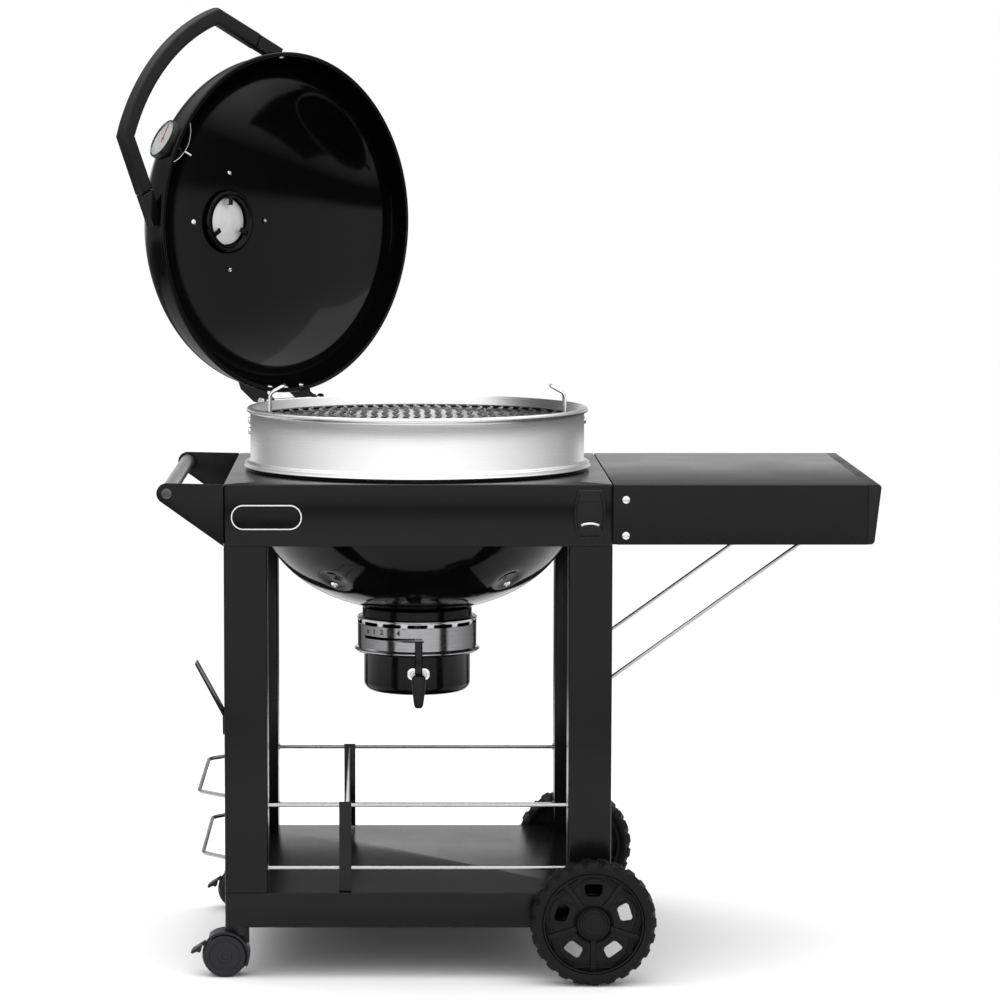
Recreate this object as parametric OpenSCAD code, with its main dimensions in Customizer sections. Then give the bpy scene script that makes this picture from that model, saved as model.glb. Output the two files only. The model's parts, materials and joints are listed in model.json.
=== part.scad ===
// Kettle charcoal grill on a rolling cart, with a hinged lid and a side shelf that folds down.
// Millimetres, +Z up. The origin is on the floor under the middle of the kettle, and the
// front of the cart faces -Y. The lid is drawn open, hinged at the rear left.

/* [Cart] */
// Width of the cart from left to right
cart_w = 637; // [630:1:650]
// Depth of the cart from front to back
cart_d = 624; // [618:1:640]
// Height of the cart top above the floor
top_z = 822; // [800:1:840]
// Depth of the skirt round the cart top
tray_h = 102; // [90:1:110]
// Side of a square leg
leg_w = 71; // [60:1:80]
// Height of the bottom shelf above the floor
shelf_z = 145; // [140:1:150]
// Depth of the skirt round the bottom shelf
shelf_h = 58; // [50:1:58]
// Thickness of the folded sheet steel
sheet = 1.5; // [1:0.1:2]
// Diameter of the storage rails
rail_d = 7; // [5:0.5:8]

/* [Kettle] */
// Radius of the kettle ring
kettle_r = 285.75; // [285:0.25:287]
// Height of the kettle ring
ring_h = 102; // [90:1:110]
// Depth of the bowl below its rim
bowl_depth = 248; // [240:1:250]
// Depth of the lid above its rim
lid_h = 165; // [150:1:180]
// Thickness of the enamelled steel
wall = 1.5; // [1:0.1:2]

/* [Ash catcher] */
// Radius of the air collar under the bowl
collar_r = 102; // [98:1:104]
// Radius of the ash bucket
bucket_r = 91; // [86:1:93]
// Height of the bottom of the ash bucket
bucket_z = 440; // [420:1:460]

/* [Wheels] */
// Radius of the big wheels
wheel_r = 104; // [100:1:104]
// Width of the big wheels
wheel_w = 50; // [40:1:52]
// Radius of the caster wheels
caster_r = 35.5; // [34:0.5:36]

/* [Side shelf] */
// Length of the side shelf with its end cap
side_len = 438; // [420:1:450]
// Depth of the skirt round the side shelf
side_h = 99; // [90:1:102]

/* [Hidden] */

$fn = 48;
gap = 0.3;              // clearance between pieces that move past each other
fit = 0.06;             // radial running clearance of a pin in its hole
tray_z = top_z - tray_h;
shelf_bottom = shelf_z - shelf_h;
left_x = -cart_w / 2;
right_x = cart_w / 2;
front_y = -cart_d / 2;
leg_x = cart_w / 2 - leg_w / 2;
leg_y = cart_d / 2 - leg_w / 2;
leg_face_x = cart_w / 2 - leg_w;
leg_face_y = cart_d / 2 - leg_w;
neck_w = leg_w - 2 * sheet - 0.5;
bolt_r = 4;

// ---- shared shapes -----------------------------------------------------------------

function arc(c, r, a0, a1, n) =
    [for (i = [0:n]) c + r * [cos(a0 + (a1 - a0) * i / n), sin(a0 + (a1 - a0) * i / n)]];

module rounded_rect(w, d, r) {
    square([w - 2 * r, d], center = true);
    square([w, d - 2 * r], center = true);
    for (x = [-1, 1], y = [-1, 1]) translate([x * (w / 2 - r), y * (d / 2 - r)]) circle(r);
}

module block(w, d, h, r) {
    linear_extrude(h) rounded_rect(w, d, r);
}

// A round rod from one point to another
module rod(p, q, d) {
    v = q - p;
    translate(p) rotate([0, acos(v.z / norm(v)), atan2(v.y, v.x)]) cylinder(d = d, h = norm(v));
}

// A bent wire through a list of points. The rods stop short of each bend, which a ball fills.
// The ball is turned so that its seam is clear of both rods.
module wire(points, d, short = 0, ball = 0.4) {
    last = len(points) - 1;
    for (i = [1:last]) let (u = unit(points[i] - points[i - 1]))
        rod(points[i - 1] + (i == 1 ? 0 : short) * u, points[i] - (i == last ? 0 : short) * u, d);
    if (last > 1) for (i = [1:last - 1])
        let (free = unit(points[i] - points[i - 1]) + unit(points[i] - points[i + 1]))
            translate(points[i]) rotate([0, 0, atan2(free.y, free.x)]) sphere(d = d + ball);
}

function unit(v) = v / norm(v);
function turn(a, b) = atan2(a.x * b.y - a.y * b.x, a * b);

// A round wire bent in the XY plane through a list of points, with a bend radius
module bent_wire(points, d, r) {
    last = len(points) - 1;
    way = [for (i = [1:last]) unit(points[i] - points[i - 1])];
    trim = [for (i = [0:last]) i == 0 || i == last ? 0 : r * tan(abs(turn(way[i - 1], way[i])) / 2)];
    for (i = [1:last]) let (p = points[i - 1] + way[i - 1] * trim[i - 1],
        q = points[i] - way[i - 1] * trim[i]) rod([p.x, p.y, 0], [q.x, q.y, 0], d);
    for (i = [1:last - 1]) let (a = way[i - 1], t = turn(a, way[i]),
        side = sign(t) * [-a.y, a.x], c = points[i] - a * trim[i] + side * r)
        translate([c.x, c.y, 0]) rotate([0, 0, atan2(-side.y, -side.x) - (t < 0 ? -t : 0)])
            rotate_extrude(angle = abs(t)) translate([r, 0]) circle(d = d);
}

// A flat shape drawn in X and Z, from y0 to y1
module plate_xz(y0, y1) {
    translate([0, y1, 0]) rotate([90, 0, 0]) linear_extrude(y1 - y0) children();
}

// A cylinder along Y, from y0 to y1
module pin_y(x, z, r, y0, y1) {
    translate([x, y1, z]) rotate([90, 0, 0]) cylinder(r = r, h = y1 - y0);
}

// A cylinder along X, from x0 to x1
module pin_x(y, z, r, x0, x1) {
    translate([x0, y, z]) rotate([0, 90, 0]) cylinder(r = r, h = x1 - x0);
}

module ring_shape(r0, r1, h) {
    difference() {
        cylinder(r = r1, h = h, $fn = 96);
        translate([0, 0, -1]) cylinder(r = r0, h = h + 2, $fn = 96);
    }
}

// A wedge about Z between two azimuths
module wedge(a0, a1, r, h) {
    linear_extrude(h) polygon(concat([[0, 0]], arc([0, 0], r, a0, a1, 8)));
}

// The same piece at the front and, mirrored, at the rear
module front_and_rear() {
    children();
    mirror([0, 1, 0]) children();
}

// An open-bottomed box of folded sheet
module sheet_pan(w, d, h, r) {
    difference() {
        block(w, d, h, r);
        translate([0, 0, -1]) block(w - 2 * sheet, d - 2 * sheet, h - sheet + 1, r - sheet);
    }
}

// ---- cart ----------------------------------------------------------------------------

bowl_hole_r = kettle_r - 1.5;

module cart_top_tray() {
    color("#1b1b1c") difference() {
        translate([0, 0, tray_z]) sheet_pan(cart_w, cart_d, tray_h, 5);
        translate([0, 0, top_z - 10]) cylinder(r = bowl_hole_r, h = 20, $fn = 96);
    }
}

low_rail_z = 185;
high_rail_z = 290;
rail_y = cart_d / 2 - 12;
side_rail_x = left_x + 18.5;
stay_pivot = [305, 481.2];
stay_d = 6;

module leg(sx, sy) {
    x = sx * leg_x;
    y = sy * leg_y;
    step_z = tray_z - 5;
    color("#202022") difference() {
        union() {
            translate([x, y, shelf_z]) block(leg_w, leg_w, tray_z - shelf_z, 4);
            translate([x, y, step_z]) block(neck_w, neck_w, top_z - sheet - step_z - gap, 3);
        }
        translate([x, y, shelf_z + 3])
            block(leg_w - 2 * sheet, leg_w - 2 * sheet, step_z - shelf_z - 3, 2.5);
        translate([x, y, step_z - 1]) block(neck_w - 2 * sheet, neck_w - 2 * sheet, tray_h + 10, 1.5);
        translate([x, y, shelf_z - 1]) cylinder(r = bolt_r + fit, h = 5);
        for (z = [low_rail_z, high_rail_z])
            pin_x(sy * rail_y, z, rail_d / 2 + fit, sx > 0 ? leg_face_x - 1 : -leg_face_x - 5,
                sx > 0 ? leg_face_x + 5 : -leg_face_x + 1);
        if (sx < 0) for (z = [low_rail_z, high_rail_z])
            pin_y(side_rail_x, z, rail_d / 2 + fit, sy > 0 ? leg_face_y - 1 : -leg_face_y - 5,
                sy > 0 ? leg_face_y + 5 : -leg_face_y + 1);
        if (sx > 0) pin_y(stay_pivot.x, stay_pivot.y, stay_d / 2 + fit,
            sy > 0 ? leg_face_y - 1 : -leg_face_y - 5, sy > 0 ? leg_face_y + 5 : -leg_face_y + 1);
    }
}

module leg_bolts() {
    color("#3a3a3a") for (sx = [-1, 1], sy = [-1, 1]) translate([sx * leg_x, sy * leg_y, 0]) {
        translate([0, 0, shelf_z - sheet - 5]) cylinder(r = 7, h = 5, $fn = 6);
        translate([0, 0, shelf_z - sheet - 1]) cylinder(r = bolt_r, h = 14);
        translate([0, 0, shelf_z + 3]) cylinder(r = 7, h = 6, $fn = 6);
    }
}

axle_x = 287.5;
axle_z = wheel_r;
axle_r = 6;

module bottom_shelf() {
    color("#1b1b1c") difference() {
        translate([0, 0, shelf_bottom]) sheet_pan(cart_w, cart_d, shelf_h, 5);
        pin_y(axle_x, axle_z, axle_r + fit, front_y - 5, -front_y + 5);
        for (sx = [-1, 1], sy = [-1, 1]) translate([sx * leg_x, sy * leg_y, shelf_z - 5])
            cylinder(r = bolt_r + fit, h = 10);
    }
}

caster_x = -294.5;
caster_y = 277;
stem_r = 5;

module caster_plates() {
    plate_w = 66;
    plate_x = left_x + sheet + plate_w / 2;
    color("#2a2a2c") front_and_rear() difference() {
        union() {
            translate([plate_x, front_y + sheet + plate_w / 2, shelf_bottom])
                block(plate_w, plate_w, 2.5, 3);
            translate([left_x + sheet + plate_w - 2.5, front_y + sheet + 3, shelf_bottom])
                cube([2.5, plate_w - 6, shelf_h - sheet]);
        }
        translate([caster_x, -caster_y, shelf_bottom - 1]) cylinder(r = stem_r + fit, h = 5);
    }
}

module storage_rails() {
    reach = leg_face_x + 6;
    color("#c9c9cc") for (y = [-rail_y, rail_y], z = [low_rail_z, high_rail_z])
        pin_x(y, z, rail_d / 2, -reach, reach);
}

module left_side_rails() {
    bend_y = 166;
    color("#c9c9cc") for (rail = [[high_rail_z, -368], [low_rail_z, -362]])
        translate([0, 0, rail[0]]) wire([[side_rail_x, -leg_face_y - 5, 0],
            [side_rail_x, -leg_face_y + 5, 0], [rail[1], -bend_y, 0], [rail[1], bend_y, 0],
            [side_rail_x, leg_face_y - 5, 0], [side_rail_x, leg_face_y + 5, 0]], rail_d, 1.7, 1);
}

module tool_rest_plate() {
    color("#1b1b1c") plate_xz(-303, -257) polygon([[left_x, 408], [left_x - 3, 408],
        [left_x - 3, 439], [-367, 524.5], [-364.5, 526], [left_x, 442]]);
}

divider_x = -120;

// Hangs on the storage rails at the front and the rear, and slides along them
module shelf_divider() {
    strip_w = 20;
    hook = rail_d / 2 + 0.5;
    skin = 1.5;
    low = shelf_z + 1;
    top = high_rail_z + hook;
    color("#141415") {
        front_and_rear() difference() {
            translate([divider_x - strip_w / 2, -rail_y - hook - skin, low])
                cube([strip_w, 2 * (hook + skin), top + skin - low]);
            translate([divider_x - strip_w, -rail_y - hook, low - 1])
                cube([2 * strip_w, 2 * hook, top - low + 1]);
        }
        translate([divider_x - skin / 2, -rail_y + hook + skin - 0.5, low])
            cube([skin, 2 * (rail_y - hook - skin + 0.5), top - low]);
    }
}

module front_plaque() {
    color("#101010") translate([-248, 0, 768])
        plate_xz(front_y - 3, front_y) rounded_rect(119, 44, 21);
}

opener_x = 281;
opener_z = 772.5;
opener_w = 52;
opener_h = 82;

// The plate's sides bow outwards
module opener_outline(scale_by) {
    steps = 10;
    half = opener_h / 2 * scale_by;
    side = [for (i = [0:steps]) let (t = 2 * i / steps - 1)
        [(opener_w / 2 - 7 * t * t) * scale_by, half * t]];
    polygon(concat(side, [for (i = [steps:-1:0]) [-side[i].x, side[i].y]]));
}

module bottle_opener_plate() {
    color("#171718") difference() {
        translate([opener_x, 0, opener_z]) plate_xz(front_y - 7, front_y) opener_outline(1);
        difference() {
            translate([opener_x, 0, opener_z]) plate_xz(front_y - 8, front_y - 2) opener_outline(0.86);
            translate([opener_x - 40, front_y - 10, opener_z - 60]) cube([80, 20, 42]);
            translate([opener_x - 40, front_y - 10, opener_z + 24]) cube([80, 20, 40]);
        }
    }
}

module bottle_opener_tooth() {
    color("#b9b9bb") plate_xz(front_y - 11, front_y - 2.05) intersection() {
        translate([opener_x, opener_z - 47]) difference() {
            circle(35);
            circle(31);
        }
        translate([opener_x - 16, opener_z - 17]) square([32, 10]);
    }
}

handle_x = -411;
handle_z = 807;
handle_end_r = 17;
handle_tube_r = 12.5;

// The point where a line from p touches a circle, on the side given by s
function touch(p, c, r, s) =
    let (d = norm(c - p), a = atan2(p.y - c.y, p.x - c.x) + s * acos(r / d)) c + r * [cos(a), sin(a)];

module handle_outline() {
    c = [handle_x, handle_z];
    hi = [left_x, top_z];
    lo = [left_x, tray_z];
    translate(c) circle(handle_end_r);
    polygon([hi, touch(hi, c, handle_end_r, 1), c, touch(lo, c, handle_end_r, -1), lo]);
}

module handle_bracket() {
    color("#1b1b1c") difference() {
        union() {
            plate_xz(front_y, front_y + 3) handle_outline();
            translate([left_x - 2, front_y + 1, tray_z + 4]) cube([2, 27, tray_h - 8]);
        }
        pin_y(handle_x, handle_z, bolt_r + fit, front_y - 1, front_y + 5);
        for (z = [tray_z + 20, top_z - 20]) pin_x(front_y + 17, z, 3 + fit, left_x - 5, left_x + 5);
    }
}

module cart_handle_bar() {
    reach = cart_d / 2 - 3;
    color("#77777a") difference() {
        pin_y(handle_x, handle_z, handle_tube_r, -reach, reach);
        pin_y(handle_x, handle_z, handle_tube_r - 2, -reach + 3, reach - 3);
        pin_y(handle_x, handle_z, bolt_r + fit, -reach - 1, reach + 1);
    }
}

module handle_bolts() {
    color("#3a3a3c") front_and_rear() {
        pin_y(handle_x, handle_z, 9, front_y - 4, front_y);
        pin_y(handle_x, handle_z, bolt_r, front_y - 1, front_y + 20);
        for (z = [tray_z + 20, top_z - 20]) pin_x(front_y + 17, z, 6, left_x - 5, left_x - 2);
    }
}

// ---- wheels --------------------------------------------------------------------------

wheel_y = cart_d / 2 + 10 + wheel_w / 2;
hub_r = 27;
rim_r = 84;
window_at = 54;

module axle() {
    reach = wheel_y + wheel_w / 2 - 3;
    color("#8d8d90") {
        pin_y(axle_x, axle_z, axle_r, -reach, reach);
        for (s = [-1, 1]) pin_y(axle_x, axle_z, 11, s > 0 ? cart_d / 2 + gap : -cart_d / 2 - 4,
            s > 0 ? cart_d / 2 + 4 : -cart_d / 2 - gap);
    }
}

// Drawn about its own axis; z is measured outwards from the middle of its width
module wheel_hub_shape() {
    half = wheel_w / 2;
    difference() {
        union() {
            translate([0, 0, -half + 4]) cylinder(r = hub_r, h = wheel_w - 8, $fn = 64);
            translate([0, 0, 2]) cylinder(r = rim_r, h = 8, $fn = 96);
            translate([0, 0, -half + 6]) ring_shape(rim_r - 6, rim_r, wheel_w - 12);
        }
        translate([0, 0, -half]) cylinder(r = axle_r + fit, h = wheel_w);
        for (i = [0:4]) rotate([0, 0, 90 + 72 * i]) translate([window_at, 0, 0])
            linear_extrude(12) rounded_rect(28, 20, 5);
    }
}

module tyre_shape() {
    half = wheel_w / 2;
    rotate_extrude($fn = 96) polygon([[rim_r + 0.05, -half + 3], [rim_r + 4, -half],
        [wheel_r - 8, -half], [wheel_r, -half + 9], [wheel_r, half - 9], [wheel_r - 8, half],
        [rim_r + 4, half], [rim_r + 0.05, half - 3]]);
}

module front_wheel_place() {
    translate([axle_x, -wheel_y, axle_z]) rotate([90, 0, 0]) children();
}

module rear_wheel_place() {
    mirror([0, 1, 0]) front_wheel_place() children();
}

module wheel_caps() {
    half = wheel_w / 2;
    color("#19191a") front_and_rear() front_wheel_place() rotate_extrude()
        polygon([[0, half - 2.5], [24, half - 2.5], [24, half - 1], [21, half + 1.5],
            [12, half + 2.6], [0, half + 3]]);
}

hood_r = 41;
hood_pivot = [-354.5, 53.5];
caster_wheel_x = caster_x - 25.5;
caster_slot = 5;
caster_w = 23;

module caster_stems() {
    color("#9a9a9c") front_and_rear() translate([caster_x, -caster_y, 0]) {
        translate([0, 0, 71]) cylinder(r = stem_r, h = 40);
        translate([0, 0, shelf_bottom - 0.9]) cylinder(r = 9, h = 0.9);
        translate([0, 0, shelf_bottom + 2.5]) cylinder(r = 9, h = 7, $fn = 6);
    }
}

// Fork, fender and swivel boss of a twin-wheel caster
module caster_hood() {
    c = [caster_wheel_x, caster_r];
    color("#1f2022") difference() {
        union() {
            plate_xz(-caster_y - caster_slot, -caster_y + caster_slot) {
                intersection() {
                    translate(c) circle(hood_r - 3);
                    translate([c.x - 50, 12]) square([100, 80]);
                }
                translate(hood_pivot) circle(3.5);
                translate([c.x, c.y + 20]) square([40, 24]);
            }
            plate_xz(-caster_y - caster_w + 1, -caster_y + caster_w - 1) intersection() {
                translate(c) difference() {
                    circle(hood_r);
                    circle(caster_r + 1.5);
                }
                translate(c) polygon(concat([[0, 0]], arc([0, 0], 80, -25, 130, 8)));
            }
            translate([caster_x, -caster_y, 69.5]) cylinder(r = 14, h = shelf_bottom - 0.9 - gap - 69.5);
        }
        translate([caster_x, -caster_y, 70]) cylinder(r = stem_r + fit, h = 40);
        pin_y(c.x, c.y, 4 + fit, -caster_y - 10, -caster_y + 10);
        pin_y(hood_pivot.x, hood_pivot.y, 1.5 + fit, -caster_y - 10, -caster_y + 10);
    }
}

module caster_wheels() {
    color("#26272a") {
        for (s = [-1, 1]) translate([caster_wheel_x, -caster_y + s * (caster_slot + 0.5), caster_r])
            rotate([s * -90, 0, 0]) rotate_extrude($fn = 64) polygon([[0, 0], [caster_r - 1.5, 0],
                [caster_r, 1.5], [caster_r, 14], [caster_r - 2, 16.5], [20, 17.5], [0, 17.5]]);
        pin_y(caster_wheel_x, caster_r, 4, -caster_y - 8, -caster_y + 8);
    }
}

module caster_brake() {
    color("#1f2022") {
        difference() {
            plate_xz(-caster_y - 13, -caster_y + 13) {
                translate(hood_pivot) circle(2.4);
                polygon([[-356.6, 54.6], [-363, 50.5], [-374, 43.5], [-377, 39.5], [-374.5, 38],
                    [-367, 41.5], [-361.5, 40], [-359.5, 44], [-356.8, 52.8]]);
            }
            plate_xz(-caster_y - caster_slot - 0.4, -caster_y + caster_slot + 0.4)
                translate([-359.8, 40]) square([10, 20]);
        }
        pin_y(hood_pivot.x, hood_pivot.y, 1.5, -caster_y - 8, -caster_y + 8);
    }
}

// ---- side shelf ----------------------------------------------------------------------

side_x = right_x + 1;
side_end_x = side_x + side_len;
cap_len = 22;
side_bottom = top_z - side_h;
fold = [340, 738];
fold_r = fold.x - side_x;
side_joint_x = side_end_x - cap_len;
shelf_screw_z = 797;
stay_y = 235;
stay_end = [657.7, 735.4];
saddle_y = 150;

module side_shelf_brackets() {
    color("#2a2a2c") front_and_rear() difference() {
        union() {
            plate_xz(front_y + 4, front_y + 7) {
                translate([right_x, tray_z + 3]) square([fold.x - right_x, 90]);
                translate([fold.x, tray_z + 12]) square([12, 77]);
                translate(fold) circle(12);
            }
            translate([right_x, front_y + 4, tray_z + 3]) cube([3, 30, 90]);
        }
        pin_y(fold.x, fold.y, 3 + fit, front_y, front_y + 10);
    }
}

module side_outline() {
    square_w = side_joint_x - side_x;
    translate([side_x, fold.y]) square([square_w, top_z - fold.y]);
    translate([fold.x, side_bottom]) square([side_joint_x - fold.x, fold.y - side_bottom]);
    intersection() {
        translate(fold) circle(fold_r);
        translate([side_x, side_bottom]) square([40, 40]);
    }
}

module side_shelf_panel() {
    color("#1b1b1c") {
        difference() {
            plate_xz(front_y, -front_y) side_outline();
            translate([side_x - 10, front_y + sheet, side_bottom - 10])
                cube([side_len, cart_d - 2 * sheet, side_h + 10 - sheet]);
            for (z = [fold.y, shelf_screw_z]) pin_y(fold.x, z, 3 + fit, front_y - 5, -front_y + 5);
        }
        // Saddles that the stay's top bar seats in
        for (y = [-saddle_y, saddle_y]) plate_xz(y - 6, y + 6) difference() {
            union() {
                translate([stay_end.x - 13, stay_end.y - 1]) square([13, top_z - sheet - stay_end.y + 1.2]);
                translate([stay_end.x, stay_end.y + 2.9]) square([13, top_z - sheet - stay_end.y - 2.7]);
            }
            translate(stay_end) circle(stay_d / 2 + gap);
        }
    }
}

// Plastic cap on the shelf's outer end; its face leans in towards the bottom
module side_shelf_end_cap() {
    inset = 10;
    outline = concat([[side_joint_x + 0.05, side_bottom], [side_joint_x + 0.05, top_z]],
        arc([side_end_x - 5, top_z - 5], 5, 90, 0, 5),
        arc([side_end_x - inset - 6, side_bottom + 6], 6, 0, -90, 5));
    color("#1f1f21") difference() {
        plate_xz(front_y, -front_y) polygon(outline);
        translate([side_joint_x - 1, front_y + 2.5, side_bottom - 5])
            cube([cap_len - inset - 3, cart_d - 5, side_h + 2]);
    }
}

module shelf_bolts() {
    color("#d0d0d2") front_and_rear() {
        pin_y(fold.x, fold.y, 6.5, front_y - gap - 3.2, front_y - gap);
        pin_y(fold.x, fold.y, 3, front_y - gap - 1, front_y + 12);
    }
}

// Screws that turn down with the shelf
module shelf_screws() {
    color("#d0d0d2") front_and_rear() {
        pin_y(fold.x, shelf_screw_z, 6.5, front_y - 3.2, front_y);
        pin_y(fold.x, shelf_screw_z, 3, front_y - 1, front_y + 3.4);
    }
}

// Wire bail that props the shelf; its feet turn in the right legs
module shelf_stay() {
    foot = leg_face_y + 5;
    reach = stay_end - stay_pivot;
    color("#c9c9cc") translate([stay_pivot.x, 0, stay_pivot.y])
        rotate([0, -atan2(reach.y, reach.x), 0]) bent_wire([[0, -foot], [0, -stay_y],
            [norm(reach), -stay_y], [norm(reach), stay_y], [0, stay_y], [0, foot]], stay_d, 4);
}

// ---- bowl, ring and grates -----------------------------------------------------------

bowl_rim_z = top_z + 4;
bowl_a = kettle_r - 2.75;
lip_r = kettle_r + 7.25;
shaft_r = 6;
ring_z = bowl_rim_z + 0.5;
ring_top = ring_z + ring_h;
vent_angles = [90, 210, 330];

// The bowl's outline is a rounded, flat-bottomed half oval
function bowl_point(a, b, t) = [a * pow(cos(t), 2 / 2.2), bowl_rim_z - b * pow(sin(t), 2 / 2.5)];

module bowl_section(inset, thick) {
    steps = 16;
    out = [for (i = [1:steps - 1])
        bowl_point(bowl_a - inset, bowl_depth - inset, 90 * i / steps)];
    in = [for (i = [steps - 1:-1:1])
        bowl_point(bowl_a - inset - thick, bowl_depth - inset - thick, 90 * i / steps)];
    floor_z = bowl_rim_z - bowl_depth + inset;
    polygon(concat([[bowl_a - inset, bowl_rim_z]], out, [[shaft_r + fit, floor_z],
        [shaft_r + fit, floor_z + thick]], in, [[bowl_a - inset - thick, bowl_rim_z]]));
}

bolt_azimuths = [229, 315, 92];
support_z = 646;

module bowl() {
    color("#0c0c0d") difference() {
        union() {
            rotate_extrude($fn = 96) bowl_section(0, wall);
            translate([0, 0, top_z]) ring_shape(bowl_a - 1, lip_r, bowl_rim_z - top_z);
        }
        for (a = vent_angles) rotate([0, 0, a]) translate([0, 0, 560]) difference() {
            wedge(-20, 20, 78, 40);
            translate([0, 0, -1]) cylinder(r = 28, h = 50);
        }
        translate([0, 0, support_z]) for (a = bolt_azimuths) rotate([0, 0, a])
            translate([205, 0, 0]) rotate([0, 130, 0]) cylinder(r = 3 + fit, h = 40, center = true);
    }
}

// Brackets inside the bowl that carry the charcoal grate
module grate_supports() {
    color("#2c2c2e") for (a = bolt_azimuths) rotate([0, 0, a]) difference() {
        plate_xz(-12, 12) polygon([[184, 659], [204, 659], [207.2, 653], [198, 640.5], [195, 643],
            [202, 652.5], [200.5, 656], [184, 656]]);
        translate([205, 0, support_z]) rotate([0, 130, 0]) cylinder(r = 3.3, h = 60, center = true);
    }
}

flange_r = kettle_r + 10.75;

module kettle_ring() {
    rim_r1 = kettle_r + 6.75;
    color("#a9a9ab") difference() {
        translate([0, 0, ring_z]) rotate_extrude($fn = 96) polygon([[kettle_r - wall, 0],
            [flange_r, 0], [flange_r, 7], [kettle_r, 10.5], [kettle_r, ring_h - 10],
            [rim_r1 - 1.5, ring_h - 9], [rim_r1, ring_h - 6.5], [rim_r1, ring_h - 3],
            [rim_r1 - 2.5, ring_h], [kettle_r - wall, ring_h]]);
        for (b = ring_bolt_places) rotate([0, 0, b[0]]) pin_x(0, b[1], 3 + fit, 270, 310);
    }
}

grate_z = ring_top - 18;
grate_r = 276;
ring_bolt_places = [[0, 904], [90, 904], [180, 904], [180, 886], [129, 880], [141, 880]];

// Screws through the ring and, lower down, through the bowl
module kettle_bolts() {
    color("#5a5a5c") for (b = ring_bolt_places) {
        plate = b[0] > 100 && b[0] < 170 ? 3.2 : 0;
        rotate([0, 0, b[0]]) {
            pin_x(0, b[1], 6, kettle_r + 0.1 + plate, kettle_r + 5 + plate);
            pin_x(0, b[1], 3, kettle_r - 6, kettle_r + 1 + plate);
        }
    }
    color("#8a8a8c") for (a = bolt_azimuths) rotate([0, 0, a]) translate([205, 0, support_z])
        rotate([0, 130, 0]) {
            translate([0, 0, 9.2]) cylinder(r = 7, h = 4);
            translate([0, 0, 1]) cylinder(r = 3, h = 9);
        }
}

// A round grate seen from above: a rim and parallel bars along Y
module grate_plan(r, pitch, bar_w) {
    bars = floor((r - 4) / pitch);
    difference() {
        circle(r + 3, $fn = 96);
        circle(r - 3, $fn = 96);
    }
    for (i = [-bars:bars]) let (half = sqrt(r * r - i * i * pitch * pitch))
        translate([i * pitch - bar_w / 2, -half]) square([bar_w, 2 * half]);
}

module charcoal_grate() {
    color("#3b3a39") translate([0, 0, 659.2]) rotate([0, 0, 90]) linear_extrude(6)
        grate_plan(200, 20, 6);
}

// Bars and rim, two strips under the bars, and a wire handle at each side
module cooking_grate() {
    color("#57544f") {
        translate([0, 0, grate_z - 3]) linear_extrude(5.5) grate_plan(grate_r, 18.4, 4.5);
        for (s = [-1, 1]) translate([s * 253 - 5, -90, grate_z - 6]) cube([10, 180, 4]);
        for (s = [-1, 1]) wire([[s * 252, -24, grate_z - 2], [s * 252, -24, grate_z + 40],
            [s * 228, -24, grate_z + 56], [s * 228, 24, grate_z + 56],
            [s * 252, 24, grate_z + 40], [s * 252, 24, grate_z - 2]], 5);
    }
}

// ---- air collar, damper and ash bucket -------------------------------------------------

collar_z = 510.5;
band_top = 568;
collar_top = 584.5;
shoulder = 8;
upper_slots = 14;
lever_z = 537;
lever_a = 262;
slot_a = [211, 265];

module air_collar() {
    skin = 1.2;
    band = band_top - collar_z;
    top = collar_top - collar_z;
    color("#b5b5b7") difference() {
        translate([0, 0, collar_z]) rotate_extrude($fn = 96) polygon([[collar_r - skin, 0],
            [collar_r + 6, 0], [collar_r + 6, 3], [collar_r, 5.5], [collar_r, band - 3],
            [collar_r + 1.5, band], [collar_r - shoulder, band], [collar_r - shoulder, top],
            [collar_r - 18, top], [collar_r - 18, top - skin], [collar_r - shoulder - skin, top - skin],
            [collar_r - shoulder - skin, band - skin], [collar_r - skin, band - skin]]);
        translate([0, 0, lever_z - 2.6]) difference() {
            wedge(slot_a[0] - 2, slot_a[1] + 2, 130, 5.2);
            translate([0, 0, -1]) cylinder(r = 60, h = 10);
        }
        for (i = [1:upper_slots]) rotate([0, 0, 270 + 360 * i / upper_slots])
            translate([0, 0, 559.5]) pin_x_slot(60, 130, 34, 6);
    }
}

// A pill-shaped cutter along X
module pin_x_slot(x0, x1, w, h) {
    translate([x0, 0, 0]) rotate([90, 0, 90]) linear_extrude(x1 - x0) rounded_rect(w, h, h / 2 - 0.01);
}

// Three blades that sweep the bowl's floor, their shaft, and the lever that turns them, whose
// grip hangs in front of the ash bucket
module damper_rotor() {
    blade_gap = 0.8;
    color("#4a4a4c") {
        intersection() {
            rotate_extrude($fn = 96) bowl_section(wall + blade_gap, 2);
            for (a = vent_angles) rotate([0, 0, a + 50]) translate([0, 0, 560]) wedge(-24, 24, 84, 60);
        }
        translate([0, 0, lever_z - 4]) cylinder(r = shaft_r, h = 590 - lever_z);
        translate([0, 0, 580.5]) cylinder(r = 14, h = 5.5);
        rotate([0, 0, lever_a]) translate([0, -6, lever_z - 1.5]) cube([lever_reach - 1, 12, 3]);
        translate([0, 0, lever_z - 1.3]) difference() {
            wedge(lever_a - 4, grip_a + 4, lever_reach + 3, 2.6);
            translate([0, 0, -1]) cylinder(r = collar_r + 3, h = 5);
        }
        rotate([0, 0, grip_a]) {
            translate([lever_reach - 1, -6.5, grip_top - 6]) cube([3, 13, lever_z + 7 - grip_top]);
            translate([lever_reach + 1, 0, grip_top - 26]) rotate([0, 14, 0]) rotate([0, 0, 90])
                translate([0, 0, -30]) linear_extrude(60) rounded_rect(25, 12, 5.9);
        }
    }
}

lever_reach = 121;
grip_a = 271;
grip_top = 478;

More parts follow.
